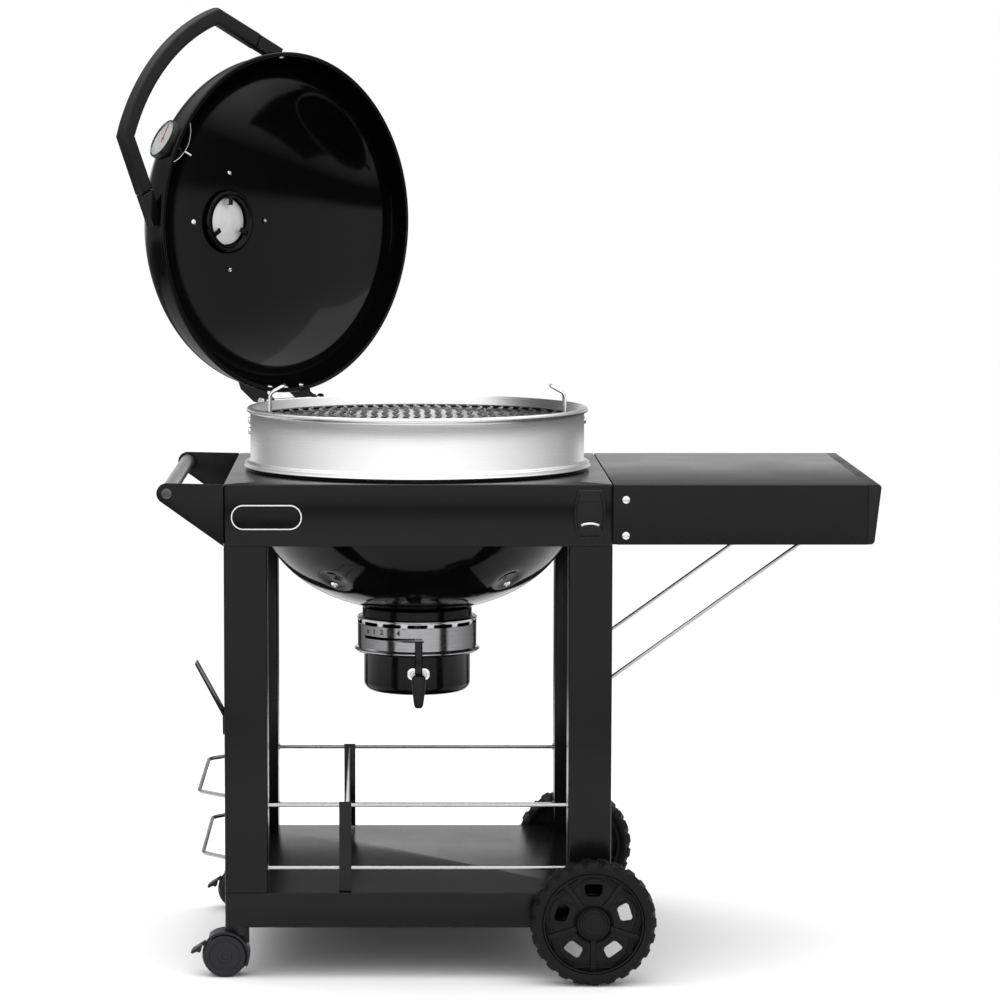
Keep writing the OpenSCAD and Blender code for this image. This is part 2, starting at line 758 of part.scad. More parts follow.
module ash_bucket() {
    top = collar_z - gap;
    steps = 5;
    foot = 14;
    skin = 1.2;
    base = arc([bucket_r - foot, bucket_z + foot], foot, -90, 0, steps);
    inner = arc([bucket_r - foot, bucket_z + foot], foot - skin, 0, -90, steps);
    color("#111112") rotate_extrude($fn = 96) polygon(concat([[0, bucket_z]], base,
        [[bucket_r, top - 4], [collar_r + 3, top - 2], [collar_r + 3, top],
            [bucket_r - skin, top]], inner, [[0, bucket_z + skin]]));
}

// Latch plate and tongue on the front of the bucket
module ash_bucket_grip() {
    x = 2;
    back = -bucket_r - 0.1;
    color("#8f8f92") {
        translate([x, back, 478]) rotate([90, 0, 0]) linear_extrude(2.5) rounded_rect(38, 21, 9);
        translate([x, back - 5, 481]) cube([14, 9.9, 12], center = true);
    }
}

// ---- lid -----------------------------------------------------------------------------

hinge_a = 135;
hinge_r = kettle_r + 26.65;
hinge_z = 924;
hinge_axis = [cos(hinge_a - 90), sin(hinge_a - 90), 0];
hinge_at = [hinge_r * cos(hinge_a), hinge_r * sin(hinge_a), hinge_z];
hinge_pin_r = 4;
ear_y = 70;
arm_y = 52;
lid_open = 90;
lid_z = ring_top + 0.4;
skirt_h = 25;
dome_h = lid_h - skirt_h;
lid_r = kettle_r + 7.85;
bead_r = 3.2;

function dome(r) = lid_z + skirt_h + dome_h * sqrt(1 - pow(r / lid_r, 2));

// Turns a piece drawn on the closed lid to where the open lid holds it
module on_open_lid() {
    translate(hinge_at) rotate(a = -lid_open, v = hinge_axis) translate(-hinge_at) children();
}

module at_hinge() {
    rotate([0, 0, hinge_a]) children();
}

module hinge_base() {
    color("#1c1c1d") at_hinge() difference() {
        union() {
            intersection() {
                translate([0, 0, 850]) ring_shape(kettle_r + 0.1, kettle_r + 3.1, 60);
                translate([0, -ear_y - 4, 840]) cube([400, 2 * ear_y + 8, 80]);
            }
            for (s = [-1, 1]) plate_xz(s * ear_y - 2, s * ear_y + 2) {
                translate([hinge_r, hinge_z]) circle(8);
                polygon([[kettle_r - 6.5, 856], [kettle_r - 6.5, 906], [hinge_r - 8, hinge_z + 1],
                    [hinge_r + 8, hinge_z - 1], [hinge_r - 2, 890], [kettle_r + 2, 856]]);
            }
        }
        pin_y(hinge_r, hinge_z, hinge_pin_r + fit, -80, 80);
        cylinder(r = kettle_r + 0.1, h = 1000, $fn = 96);
        for (a = [-6, 6]) rotate([0, 0, a]) pin_x(0, 880, 3 + fit, 270, 310);
    }
}

module hinge_pin() {
    color("#8d8d90") at_hinge() {
        pin_y(hinge_r, hinge_z, hinge_pin_r, -ear_y - 5, ear_y + 5);
        for (s = [-1, 1]) pin_y(hinge_r, hinge_z, 7, s > 0 ? ear_y + 2.1 : -ear_y - 6,
            s > 0 ? ear_y + 6 : -ear_y - 2.1);
    }
}

vent_hole_r = 46;
thermo_a = 255;
thermo_h = 44;
thermo_x = lid_r * sqrt(1 - pow((thermo_h - skirt_h) / dome_h, 2));
thermo_tilt = atan2(thermo_x / pow(lid_r, 2), (thermo_h - skirt_h) / pow(dome_h, 2));
handle_h = 25;
handle_base_a = [225, 315];
vent_screw_r = 87;

module at_thermometer() {
    rotate([0, 0, thermo_a]) translate([thermo_x, 0, lid_z + thermo_h])
        rotate([0, thermo_tilt, 0]) children();
}

module lid_shell() {
    steps = 14;
    out = [for (i = [0:steps]) let (t = 90 * i / steps) let (r = lid_r * cos(t))
        if (r > vent_hole_r) [r, lid_z + skirt_h + dome_h * sin(t)]];
    in = [for (i = [steps:-1:0]) let (t = 90 * i / steps) let (r = (lid_r - wall) * cos(t))
        if (r > vent_hole_r) [r, lid_z + skirt_h + (dome_h - wall) * sin(t)]];
    section = concat([[lid_r - wall, lid_z], [lid_r, lid_z]], out,
        [[vent_hole_r, dome(vent_hole_r)], [vent_hole_r, dome(vent_hole_r) - wall]], in);
    color("#0c0c0d") on_open_lid() difference() {
        union() {
            rotate_extrude($fn = 96) polygon(section);
            rotate_extrude($fn = 96) translate([lid_r + bead_r - 0.2, lid_z + bead_r])
                circle(bead_r, $fn = 24);
        }
        at_thermometer() cylinder(r = 5, h = 40, center = true);
        for (a = handle_base_a) rotate([0, 0, a]) pin_x(0, lid_z + handle_h - 4, 3 + fit, 270, 300);
        for (i = [0:3]) rotate([0, 0, 45 + 90 * i]) translate([vent_screw_r, 0, lid_z + 100])
            cylinder(r = 2.5 + fit, h = 80);
        rotate([0, 0, hinge_a]) for (y = [-38, 0, 38]) pin_x(y, lid_z + 13, 3 + fit, 270, 300);
    }
}

// The two curved arms and the plate that carry the lid on the hinge pin
module hinge_arms() {
    color("#161617") on_open_lid() at_hinge() difference() {
        union() {
            for (s = [-1, 1]) plate_xz(s * arm_y - 3, s * arm_y + 3) {
                translate([hinge_r, hinge_z]) circle(8);
                polygon([[hinge_r + 7, hinge_z + 4], [hinge_r + 3, hinge_z + 40],
                    [hinge_r - 18, hinge_z + 74], [240, hinge_z + 100], [240, hinge_z + 40],
                    [270, lid_z + 9], [hinge_r - 12, hinge_z + 10], [hinge_r - 8, hinge_z + 2]]);
            }
            intersection() {
                translate([0, 0, lid_z + 7]) ring_shape(lid_r, lid_r + 3, 17);
                translate([0, -arm_y - 14, lid_z]) cube([400, 2 * arm_y + 28, 60]);
            }
        }
        lid_solid(0.1);
        rotate_extrude($fn = 96) translate([lid_r + bead_r - 0.2, lid_z + bead_r])
            circle(bead_r + 0.2, $fn = 24);
        pin_y(hinge_r, hinge_z, hinge_pin_r + fit, -80, 80);
        for (y = [-38, 0, 38]) pin_x(y, lid_z + 13, 3 + fit, 270, 300);
    }
}

// Everything under the lid's outer skin, grown by a small clearance
module lid_solid(grow) {
    steps = 14;
    rotate_extrude($fn = 96) polygon(concat([[0, lid_z - 1], [lid_r + grow, lid_z - 1]],
        [for (i = [0:steps]) let (t = 90 * i / steps)
            [(lid_r + grow) * cos(t), lid_z + skirt_h + (dome_h + grow) * sin(t)]]));
}

grip_reach = 396;
grip_corner = [147, 361];
grip_t = 28;
grip_tall = 22;
grip_cut = 265;
bow = grip_reach - grip_corner.y;
bow_r = (grip_corner.x * grip_corner.x + bow * bow) / (2 * bow);
bow_a = asin(grip_corner.x / bow_r);

// The handle seen from above: two legs and a bowed bar
module handle_plan() {
    base = [206.5, 206.5];
    along = (base - grip_corner) / norm(base - grip_corner);
    side = [along.y, -along.x] * grip_t / 2;
    mid = [0, -(grip_reach - bow_r)];
    polygon(concat(arc(mid, bow_r + grip_t / 2, -90 - bow_a, -90 + bow_a, 12),
        arc(mid, bow_r - grip_t / 2, -90 + bow_a, -90 - bow_a, 12)));
    for (s = [-1, 1]) mirror([s > 0 ? 0 : 1, 0]) {
        translate([grip_corner.x, -grip_corner.y]) circle(grip_t / 2);
        polygon([for (p = [grip_corner + side, grip_corner - side, base - side, base + side])
            [p.x, -p.y]]);
    }
}

module lid_handle_grip() {
    color("#19191b") on_open_lid() translate([0, 0, lid_z + handle_h - grip_tall / 2])
        linear_extrude(grip_tall) intersection() {
            handle_plan();
            translate([-300, -500]) square([600, 500 - grip_cut]);
        }
}

module lid_handle_brackets() {
    color("#141416") on_open_lid() difference() {
        translate([0, 0, lid_z + handle_h - grip_tall / 2 + 1]) linear_extrude(grip_tall - 2) intersection() {
            handle_plan();
            translate([-300, -grip_cut + 0.05]) square([600, grip_cut]);
        }
        lid_solid(0.1);
        for (a = handle_base_a) rotate([0, 0, a]) pin_x(0, lid_z + handle_h - 4, 3 + fit, 270, lid_r + 16);
    }
}

// Screws whose heads show inside the lid: handle, vent and hinge
module lid_screws() {
    color("#a5a5a8") on_open_lid() {
        for (a = handle_base_a) rotate([0, 0, a]) screw_x(0, lid_z + handle_h - 4, 14);
        at_hinge() for (y = [-38, 0, 38]) screw_x(y, lid_z + 13, y == 0 ? 6 : 3);
        for (i = [0:3]) rotate([0, 0, 45 + 90 * i]) translate([vent_screw_r, 0, 0]) {
            translate([0, 0, dome(vent_screw_r) - wall - 4.6]) cylinder(r = 5, h = 3);
            translate([0, 0, dome(vent_screw_r) - wall - 2]) cylinder(r = 2.5, h = 7);
        }
    }
}

module screw_x(y, z, reach) {
    face = sqrt(pow(lid_r - wall, 2) - y * y);
    pin_x(y, z, 6, face - 5, face - 1.2);
    pin_x(y, z, 3, face - 2, face + reach);
}

vent_base_z = lid_z + lid_h + 10;
vent_neck_r = 54;
cap_r = 64;
cap_top = vent_base_z + 30;

module top_vent_base() {
    reach = 98;
    steps = 6;
    under = [for (i = [0:steps]) let (r = vent_hole_r + (reach - vent_hole_r) * i / steps)
        [r, dome(r) + 0.5]];
    color("#1a1a1b") on_open_lid() difference() {
        union() {
            rotate_extrude($fn = 96) polygon(concat(under, [[reach, dome(reach) + 5],
                [cap_r + 6, vent_base_z], [vent_hole_r, vent_base_z]]));
            translate([0, 0, vent_base_z - 1]) ring_shape(vent_neck_r - 3, vent_neck_r, 23);
            // Rolled ring and three clips that show inside the lid
            translate([0, 0, dome(0) - wall - 7]) ring_shape(42, vent_hole_r - 0.1, 12);
            translate([0, 0, dome(0) + 2]) ring_shape(42, vent_hole_r + 2, vent_base_z - dome(0) - 2);
            for (a = [0, 120, 240]) rotate([0, 0, hinge_a + 180 + a]) translate([33, -5, dome(0) - wall - 7])
                cube([10, 10, 2.5]);
        }
        for (i = [0:5]) rotate([0, 0, 60 * i]) translate([0, 0, vent_base_z + 12])
            pin_x_slot(40, 60, 22, 10);
        for (i = [0:3]) rotate([0, 0, 45 + 90 * i]) translate([vent_screw_r, 0, lid_z + 100])
            cylinder(r = 2.5 + fit, h = dome(vent_screw_r) + 5.5 - lid_z - 100);
    }
}

// Turning cap, with the bright baffle that hangs from it on a pin
module top_vent_cap() {
    color("#d7d7d9") on_open_lid() {
        difference() {
            translate([0, 0, vent_base_z + gap]) rotate_extrude($fn = 96) polygon([[0, 26],
                [cap_r - 5, 24], [cap_r - 2.5, 21], [cap_r - 2.5, 0], [cap_r, 0], [cap_r, 23],
                [cap_r - 5, 29], [0, 31]]);
            for (i = [0:5]) rotate([0, 0, 60 * i]) translate([0, 0, vent_base_z + 12])
                pin_x_slot(55, 80, 22, 10);
        }
        translate([0, 0, dome(0) - 2]) cylinder(r = 3, h = vent_base_z + 26 - dome(0) + 3);
        translate([0, 0, dome(0) - 1]) cylinder(r = 41, h = 2);
    }
}

// ---- thermometer ----------------------------------------------------------------------

case_r = 36;
case_low = -14;
case_top = 8;
dial_z = 4;
probe_r = 2;
probe_len = 55;
guard_half = 45;
guard_rise = 18;
guard_z = -12;
guard_from = -3;
guard_w = 34;
guard_screws = [-19, 24];

module thermometer_case() {
    color("#1d1d1e") on_open_lid() difference() {
        at_thermometer() translate([0, 0, case_low])
            cylinder(r = case_r, h = case_top - case_low, $fn = 64);
        lid_solid(0.1);
        at_thermometer() translate([0, 0, dial_z])
            cylinder(r = case_r - 3, h = case_top, $fn = 64);
    }
    color("#1d1d1e") on_open_lid() at_thermometer() {
        translate([0, 0, -probe_len]) cylinder(r = probe_r, h = probe_len + 3);
        translate([0, 0, -wall - 8]) cylinder(r = 8, h = 5.5, $fn = 6);
        probe_guard();
    }
}

// Bowed strap with two rivets; it keeps the probe clear of food
module probe_guard() {
    bend = (guard_half * guard_half + guard_rise * guard_rise) / (2 * guard_rise);
    sweep = asin(guard_half / bend);
    mid = [0, guard_z - guard_rise + bend];
    translate([guard_from, 0, 0]) rotate([90, 0, 90]) linear_extrude(guard_w)
        polygon(concat(arc(mid, bend, -90 - sweep, -90 + sweep, 10),
            arc(mid, bend - 2, -90 + sweep, -90 - sweep, 10)));
    for (y = guard_screws) translate([guard_from + guard_w - 10, y, guard_z - guard_rise + 0.5])
        cylinder(r = 4, h = 7);
}

module thermometer_needle() {
    color("#c22f22") on_open_lid() at_thermometer() {
        translate([0, 0, dial_z + 0.3]) cylinder(r = 3, h = 1);
        translate([-1, -7, dial_z + 0.4]) cube([2, 35, 0.7]);
    }
}

module thermometer_glass() {
    color("#dfe6ea", 0.4) on_open_lid() at_thermometer() translate([0, 0, case_top - 2.2])
        cylinder(r = case_r - 3.05, h = 1.8, $fn = 64);
}

cart_top_tray();
leg(-1, -1);  // leg_front_left
leg(1, -1);  // leg_front_right
leg(-1, 1);  // leg_rear_left
leg(1, 1);  // leg_rear_right
leg_bolts();
bottom_shelf();
caster_plates();
storage_rails();
left_side_rails();
tool_rest_plate();
shelf_divider();
front_plaque();
bottle_opener_plate();
bottle_opener_tooth();
handle_bracket();  // handle_bracket_front
mirror([0, 1, 0]) handle_bracket();  // handle_bracket_rear
cart_handle_bar();
handle_bolts();
axle();
color("#1c1c1e") front_wheel_place() wheel_hub_shape();  // wheel_front_hub
color("#141415") front_wheel_place() tyre_shape();  // wheel_front_tyre
color("#1c1c1e") rear_wheel_place() wheel_hub_shape();  // wheel_rear_hub
color("#141415") rear_wheel_place() tyre_shape();  // wheel_rear_tyre
wheel_caps();
caster_stems();
caster_hood();  // caster_front_hood
caster_wheels();  // caster_front_wheels
caster_brake();  // caster_front_brake
mirror([0, 1, 0]) caster_hood();  // caster_rear_hood
mirror([0, 1, 0]) caster_wheels();  // caster_rear_wheels
mirror([0, 1, 0]) caster_brake();  // caster_rear_brake
side_shelf_brackets();
side_shelf_panel();
side_shelf_end_cap();
shelf_bolts();
shelf_screws();
shelf_stay();
bowl();
kettle_bolts();
grate_supports();
kettle_ring();
charcoal_grate();
cooking_grate();
air_collar();
damper_rotor();
ash_bucket();
ash_bucket_grip();
hinge_base();
hinge_pin();
lid_shell();
hinge_arms();
lid_handle_grip();
lid_handle_brackets();
lid_screws();
top_vent_base();
top_vent_cap();
thermometer_case();
thermometer_needle();
thermometer_glass();
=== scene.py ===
"""Kettle charcoal grill on a cart: the looks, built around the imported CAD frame. Metres; shapes are given in mm."""
import bpy
import bmesh
import json
import math
from mathutils import Matrix, Vector


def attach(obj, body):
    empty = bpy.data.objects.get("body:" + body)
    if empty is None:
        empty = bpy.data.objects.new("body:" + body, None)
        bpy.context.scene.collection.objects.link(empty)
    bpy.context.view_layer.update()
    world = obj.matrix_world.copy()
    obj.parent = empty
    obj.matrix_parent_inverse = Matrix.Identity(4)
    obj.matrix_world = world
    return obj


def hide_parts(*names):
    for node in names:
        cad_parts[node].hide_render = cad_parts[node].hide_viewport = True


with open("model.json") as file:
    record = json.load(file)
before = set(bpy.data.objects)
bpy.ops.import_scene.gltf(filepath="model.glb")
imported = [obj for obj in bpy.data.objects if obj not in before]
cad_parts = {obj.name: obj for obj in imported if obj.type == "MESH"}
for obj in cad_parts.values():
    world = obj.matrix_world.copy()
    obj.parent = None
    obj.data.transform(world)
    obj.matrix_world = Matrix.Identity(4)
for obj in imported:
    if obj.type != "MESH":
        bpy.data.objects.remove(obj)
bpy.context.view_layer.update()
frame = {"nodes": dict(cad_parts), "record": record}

MM = 0.001
PI = math.pi
rad = math.radians

# ---- sizes taken from the CAD part, in mm --------------------------------------------------
CART_W, CART_D, TOP_Z, TRAY_Z = 637.0, 624.0, 822.0, 720.0
LEG, SHELF_Z, SHELF_LOW = 71.0, 145.0, 87.0
LEFT, FRONT, REAR = -CART_W / 2, -CART_D / 2, CART_D / 2
LEG_X, LEG_Y = CART_W / 2 - LEG / 2, CART_D / 2 - LEG / 2
RING_R, RING_Z, RING_TOP = 285.75, 826.5, 928.5
BOWL_A, BOWL_DEPTH, BOWL_RIM = 283.0, 248.0, 826.0
COLLAR_R, COLLAR_Z, BAND_TOP, COLLAR_TOP = 102.0, 510.5, 568.0, 584.5
LID_Z, LID_R, SKIRT, DOME = 928.9, 293.6, 25.0, 140.0
SIDE_X, SIDE_JOINT, SIDE_END, SIDE_LOW = 319.5, 735.5, 757.5, 723.0
FOLD = (340.0, 738.0)
HINGE_R, HINGE_Z, HINGE_A = 312.4, 924.0, 135.0
HINGE = Vector((HINGE_R * math.cos(rad(HINGE_A)), HINGE_R * math.sin(rad(HINGE_A)), HINGE_Z))
HINGE_AXIS = Vector((math.cos(rad(45)), math.sin(rad(45)), 0))
OPEN = (Matrix.Translation(HINGE) @ Matrix.Rotation(rad(-90), 4, HINGE_AXIS)
        @ Matrix.Translation(-HINGE))
WHEEL_AT, WHEEL_W = (287.5, 347.0, 104.0), 50.0


def turn_z(deg):
    return Matrix.Rotation(rad(deg), 4, "Z")


def place(x, y, z):
    return Matrix.Translation((x, y, z))


SIDEWAYS = Matrix(((0, 0, 1, 0), (1, 0, 0, 0), (0, 1, 0, 0), (0, 0, 0, 1)))    # a plate's thickness along +X


# ---- materials -----------------------------------------------------------------------------
def material(name, color, rough, metal=0.0, rough_var=0.06, rough_size=30.0, tint_var=0.12,
             bump=0.1, grain=1200.0, stretch=None, coat=0.0, aniso=0.0, lumps=0.0, lump_size=9.0,
             ior=1.5):
    """A surface whose colour, roughness and fine relief all vary, at the real thing's scale."""
    m = bpy.data.materials.new(name)
    m.use_nodes = True
    t = m.node_tree
    n, link = t.nodes, t.links.new
    p = n["Principled BSDF"]
    p.inputs["Metallic"].default_value = metal
    p.inputs["IOR"].default_value = ior
    p.inputs["Coat Weight"].default_value = coat
    p.inputs["Coat Roughness"].default_value = 0.04
    p.inputs["Anisotropic"].default_value = aniso
    where = n.new("ShaderNodeTexCoord").outputs["Object"]
    fine = where
    if stretch:
        mp = n.new("ShaderNodeMapping")
        mp.inputs["Scale"].default_value = stretch
        link(where, mp.inputs["Vector"])
        fine = mp.outputs["Vector"]

    def noise(scale, vector, detail=4.0):
        s = n.new("ShaderNodeTexNoise")
        s.inputs["Scale"].default_value = scale
        s.inputs["Detail"].default_value = detail
        link(vector, s.inputs["Vector"])
        return s.outputs["Fac"]

    def spread(value, low, high):
        s = n.new("ShaderNodeMapRange")
        s.inputs["From Min"].default_value = 0.3
        s.inputs["From Max"].default_value = 0.7
        s.inputs["To Min"].default_value = low
        s.inputs["To Max"].default_value = high
        link(value, s.inputs["Value"])
        return s.outputs["Result"]

    ramp = n.new("ShaderNodeMix")
    ramp.data_type = "RGBA"
    ramp.inputs["A"].default_value = [c * (1 - tint_var) for c in color] + [1]
    ramp.inputs["B"].default_value = [min(1, c * (1 + tint_var)) for c in color] + [1]
    link(noise(rough_size * 1.7, fine if stretch else where), ramp.inputs["Factor"])
    base = ramp.outputs["Result"]
    link(base, p.inputs["Base Color"])
    link(spread(noise(rough_size, fine if stretch else where), max(0.02, rough - rough_var),
                rough + rough_var), p.inputs["Roughness"])
    b = n.new("ShaderNodeBump")
    b.inputs["Strength"].default_value = bump
    b.inputs["Distance"].default_value = 0.0004
    link(noise(grain, fine), b.inputs["Height"])
    if lumps:
        b2 = n.new("ShaderNodeBump")
        b2.inputs["Strength"].default_value = lumps
        b2.inputs["Distance"].default_value = 0.003
        link(noise(lump_size, where, 1.0), b2.inputs["Height"])
        link(b2.outputs["Normal"], b.inputs["Normal"])
    link(b.outputs["Normal"], p.inputs["Normal"])
    return m


MAT = {
    "cart_steel": material("cart_steel", (0.004, 0.004, 0.0045), 0.24, rough_var=0.018, rough_size=7, bump=0.1,
                           grain=1100, ior=1.27),
    "gloss_black_steel": material("gloss_black_steel", (0.005, 0.005, 0.005), 0.16, bump=0.06, grain=700,
    ior=1.3),
    "dark_fastener": material("dark_fastener", (0.1, 0.1, 0.105), 0.35, metal=1, bump=0.2, grain=1500),
    "bright_steel": material("bright_steel", (0.78, 0.78, 0.79), 0.22, metal=1, bump=0.08, grain=1600),
    "rail_steel": material("rail_steel", (0.42, 0.42, 0.43), 0.26, metal=1, bump=0.1, grain=1300),
    "plaque": material("plaque", (0.003, 0.003, 0.003), 0.22, bump=0.08, ior=1.25),
    "black_plastic": material("black_plastic", (0.006, 0.006, 0.0065), 0.36, bump=0.3, grain=1500, ior=1.32),
    "handle_tube": material("handle_tube", (0.46, 0.46, 0.47), 0.34, metal=1, bump=0.25, grain=60,
                            stretch=(30, 1.2, 30), aniso=0.3),
    "wheel_plastic": material("wheel_plastic", (0.003, 0.003, 0.0033), 0.36, bump=0.3, grain=1500, ior=1.25),
    "tyre": material("tyre", (0.003, 0.003, 0.003), 0.55, bump=0.4, grain=900, ior=1.25),
    "caster_plastic": material("caster_plastic", (0.012, 0.012, 0.014), 0.42, bump=0.3, grain=1500, ior=1.3),
    "enamel": material("enamel", (0.0018, 0.0018, 0.002), 0.085, rough_var=0.02, bump=0.02, grain=500,
                       lumps=0.05, lump_size=14, ior=1.25),
    "brushed_ring": material("brushed_ring", (0.78, 0.78, 0.785), 0.3, metal=1, rough_var=0.04,
                             tint_var=0.06, rough_size=6, bump=0.12, grain=9, stretch=(1.2, 1.2, 220),
                             aniso=0.4),
    "cast_grate": material("cast_grate", (0.035, 0.034, 0.032), 0.55, metal=0.6, bump=0.6, grain=500),
    "wire_grate": material("wire_grate", (0.07, 0.068, 0.066), 0.3, metal=1, bump=0.3, grain=600),
    "polished_collar": material("polished_collar", (0.42, 0.42, 0.43), 0.14, metal=1, bump=0.12, grain=9,
                                stretch=(2, 2, 120)),
    "damper_steel": material("damper_steel", (0.3, 0.3, 0.3), 0.35, metal=1, bump=0.2),
    "bucket_black": material("bucket_black", (0.0025, 0.0025, 0.003), 0.16, bump=0.05, grain=800, ior=1.25),
    "vent_aluminium": material("vent_aluminium", (0.9, 0.9, 0.91), 0.45, metal=0.35, bump=0.15, grain=800),
    "needle_red": material("needle_red", (0.5, 0.02, 0.015), 0.35, bump=0.05),
    "dial_face": material("dial_face", (0.75, 0.75, 0.73), 0.4, bump=0.03),
    # dark print for the collar numbers and dial marks; also the painted shade of the collar's inner lining
    "mark_dark": material("mark_dark", (0.012, 0.012, 0.012), 0.5, bump=0.1),
    "badge_line": material("badge_line", (0.75, 0.75, 0.76), 0.3, metal=0.3, bump=0.05),
}
glass = bpy.data.materials.new("dial_glass")
glass.use_nodes = True
gp = glass.node_tree.nodes["Principled BSDF"]
gp.inputs["Base Color"].default_value = (0.95, 0.97, 0.98, 1)
gp.inputs["Transmission Weight"].default_value = 1.0
gp.inputs["IOR"].default_value = 1.2
gs = glass.node_tree.nodes.new("ShaderNodeTexNoise")
gs.inputs["Scale"].default_value = 40
gr = glass.node_tree.nodes.new("ShaderNodeMapRange")
gr.inputs["To Min"].default_value = 0.01
gr.inputs["To Max"].default_value = 0.07
glass.node_tree.links.new(gs.outputs["Fac"], gr.inputs["Value"])
glass.node_tree.links.new(gr.outputs["Result"], gp.inputs["Roughness"])
MAT["dial_glass"] = glass


# ---- mesh building -------------------------------------------------------------------------
class Shape:
    """Vertices and faces collected from several forms into one mesh."""

    def __init__(self):
        self.v, self.f = [], []

    def add(self, form, xf=None):
        verts, faces = form
        k = len(self.v)
        self.v += [xf @ Vector(p) if xf else Vector(p) for p in verts]
        self.f += [[i + k for i in face] for face in faces]
        return self


def put(name, shape, mat, body, nodes=(), bevel=0.0, seg=3, sharp=32, xf=None, flat=False):
    """Makes the object, lets it ride on its body and hides the CAD nodes it stands in for."""
    if isinstance(shape, tuple):
        shape = Shape().add(shape)
    me = bpy.data.meshes.new(name)
    me.from_pydata([(xf @ p if xf else p) * MM for p in shape.v], [], shape.f)
    bm = bmesh.new()
    bm.from_mesh(me)
    bmesh.ops.remove_doubles(bm, verts=bm.verts, dist=2e-6)
    bmesh.ops.recalc_face_normals(bm, faces=bm.faces)
    bm.to_mesh(me)
    bm.free()
    return settle(name, me, mat, body, nodes, bevel, seg, sharp, flat)


def settle(name, me, mat, body, nodes=(), bevel=0.0, seg=3, sharp=32, flat=False):
    me.polygons.foreach_set("use_smooth", [not flat] * len(me.polygons))
    if not flat:
        me.set_sharp_from_angle(angle=rad(sharp))
    o = bpy.data.objects.new(name, me)
    bpy.context.collection.objects.link(o)
    me.materials.clear()
    me.materials.append(MAT[mat])
    if bevel:
        b = o.modifiers.new("edges", "BEVEL")
        b.width = bevel * MM
        b.segments = seg
        b.limit_method = "ANGLE"
        b.angle_limit = rad(sharp)
        b.harden_normals = True
    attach(o, body)
    if nodes:
        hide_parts(*([nodes] if isinstance(nodes, str) else nodes))
    return o


def lathe(profile, n=96, closed=True):
    """Turns (r, z) points about Z."""
    k = len(profile)
    verts = [(r * math.cos(2 * PI * i / n), r * math.sin(2 * PI * i / n), z)
             for i in range(n) for r, z in profile]
    faces = []
    for i in range(n):
        j = (i + 1) % n
        for a in range(k if closed else k - 1):
            b = (a + 1) % k
            quad = [i * k + a, j * k + a, j * k + b, i * k + b]
            if profile[a][0] < 1e-6 and profile[b][0] < 1e-6:
                continue
            faces.append(quad)
    return verts, faces


def arc2(cx, cy, r, a0, a1, n=6):
    return [(cx + r * math.cos(rad(a0 + (a1 - a0) * i / n)), cy + r * math.sin(rad(a0 + (a1 - a0) * i / n)))
            for i in range(n + 1)]


def rr(w, d, r, n=6, sub=1, cx=0.0, cy=0.0):
    """A rounded rectangle's outline, its sides split in sub parts."""
    pts = []
    corners = [(w / 2 - r, d / 2 - r, 0), (-w / 2 + r, d / 2 - r, 90),
               (-w / 2 + r, -d / 2 + r, 180), (w / 2 - r, -d / 2 + r, 270)]
    for k, (x, y, a) in enumerate(corners):
        pts += arc2(x, y, r, a, a + 90, n)
        nx, ny, na = corners[(k + 1) % 4]
        end = (nx + r * math.cos(rad(na)), ny + r * math.sin(rad(na)))
        last = pts[-1]
        pts += [(last[0] + (end[0] - last[0]) * i / sub, last[1] + (end[1] - last[1]) * i / sub)
                for i in range(1, sub)]
    return [(x + cx, y + cy) for x, y in pts]


def stack(rings, caps=True, wrap=False):
    """Joins rings of 3-D points, each with the same count."""
    k = len(rings[0])
    verts = [p for ring in rings for p in ring]
    faces = []
    m = len(rings)
    for a in range(m if wrap else m - 1):
        b = (a + 1) % m
        faces += [[a * k + i, a * k + (i + 1) % k, b * k + (i + 1) % k, b * k + i] for i in range(k)]
    if caps and not wrap:
        faces += [list(range(k)), [(m - 1) * k + i for i in range(k)]]
    return verts, faces


def block(w, d, z0, z1, r=2.0, edge=1.0, cx=0.0, cy=0.0):
    """An upright block with rounded corners and eased top and bottom edges."""
    rings = []
    for z, inset in ((z0, edge), (z0 + edge * 0.3, edge * 0.3), (z0 + edge, 0), (z1 - edge, 0),
                     (z1 - edge * 0.3, edge * 0.3), (z1, edge)):
        rings.append([(x, y, z) for x, y in rr(w - 2 * inset, d - 2 * inset, max(0.3, r - inset), 5, 1, cx,
            cy)])
    return stack(rings)


def box(x0, x1, y0, y1, z0, z1, r=0.8, edge=0.6):
    return block(x1 - x0, y1 - y0, z0, z1, r, edge, (x0 + x1) / 2, (y0 + y1) / 2)


def pan(w, d, z0, z1, r, hole=None, sheet=1.5, cx=0.0, cy=0.0):
    """A folded sheet pan, open underneath, with a hole in its top if asked."""
    def ring(inset, z):
        return [(x, y, z) for x, y in rr(w - 2 * inset, d - 2 * inset, max(1, r - inset), 6, 10, cx, cy)]

    top = ring(3, z1)
    low = ring(sheet + 1.5, z1 - sheet)
    rings = [ring(0.5, z0), ring(0, z0 + 0.5), ring(0, z1 - 3), ring(0.4, z1 - 1.5), ring(1.4, z1 - 0.4), top]
    if hole:
        rings.append([(hole * x / math.hypot(x, y), hole * y / math.hypot(x, y), z1) for x, y, z in top])
        rings.append([(x, y, z1 - sheet) for x, y, z in rings[-1]])
    inner = [low, ring(sheet, z1 - 4), ring(sheet, z0 + 0.5), ring(sheet - 0.3, z0)]
    if hole:
        return stack(rings + inner, wrap=True)
    a = stack(rings, caps=False)
    b = stack(inner, caps=False)
    k, m = len(top), len(a[0])
    verts = a[0] + b[0]
    faces = a[1] + [[i + m for i in f] for f in b[1]]
    faces += [[m - k + i for i in range(k)], [m + i for i in range(k)]]
    end = len(verts) - k
    faces += [[i, (i + 1) % k, end + (i + 1) % k, end + i] for i in range(k)]
    return verts, faces


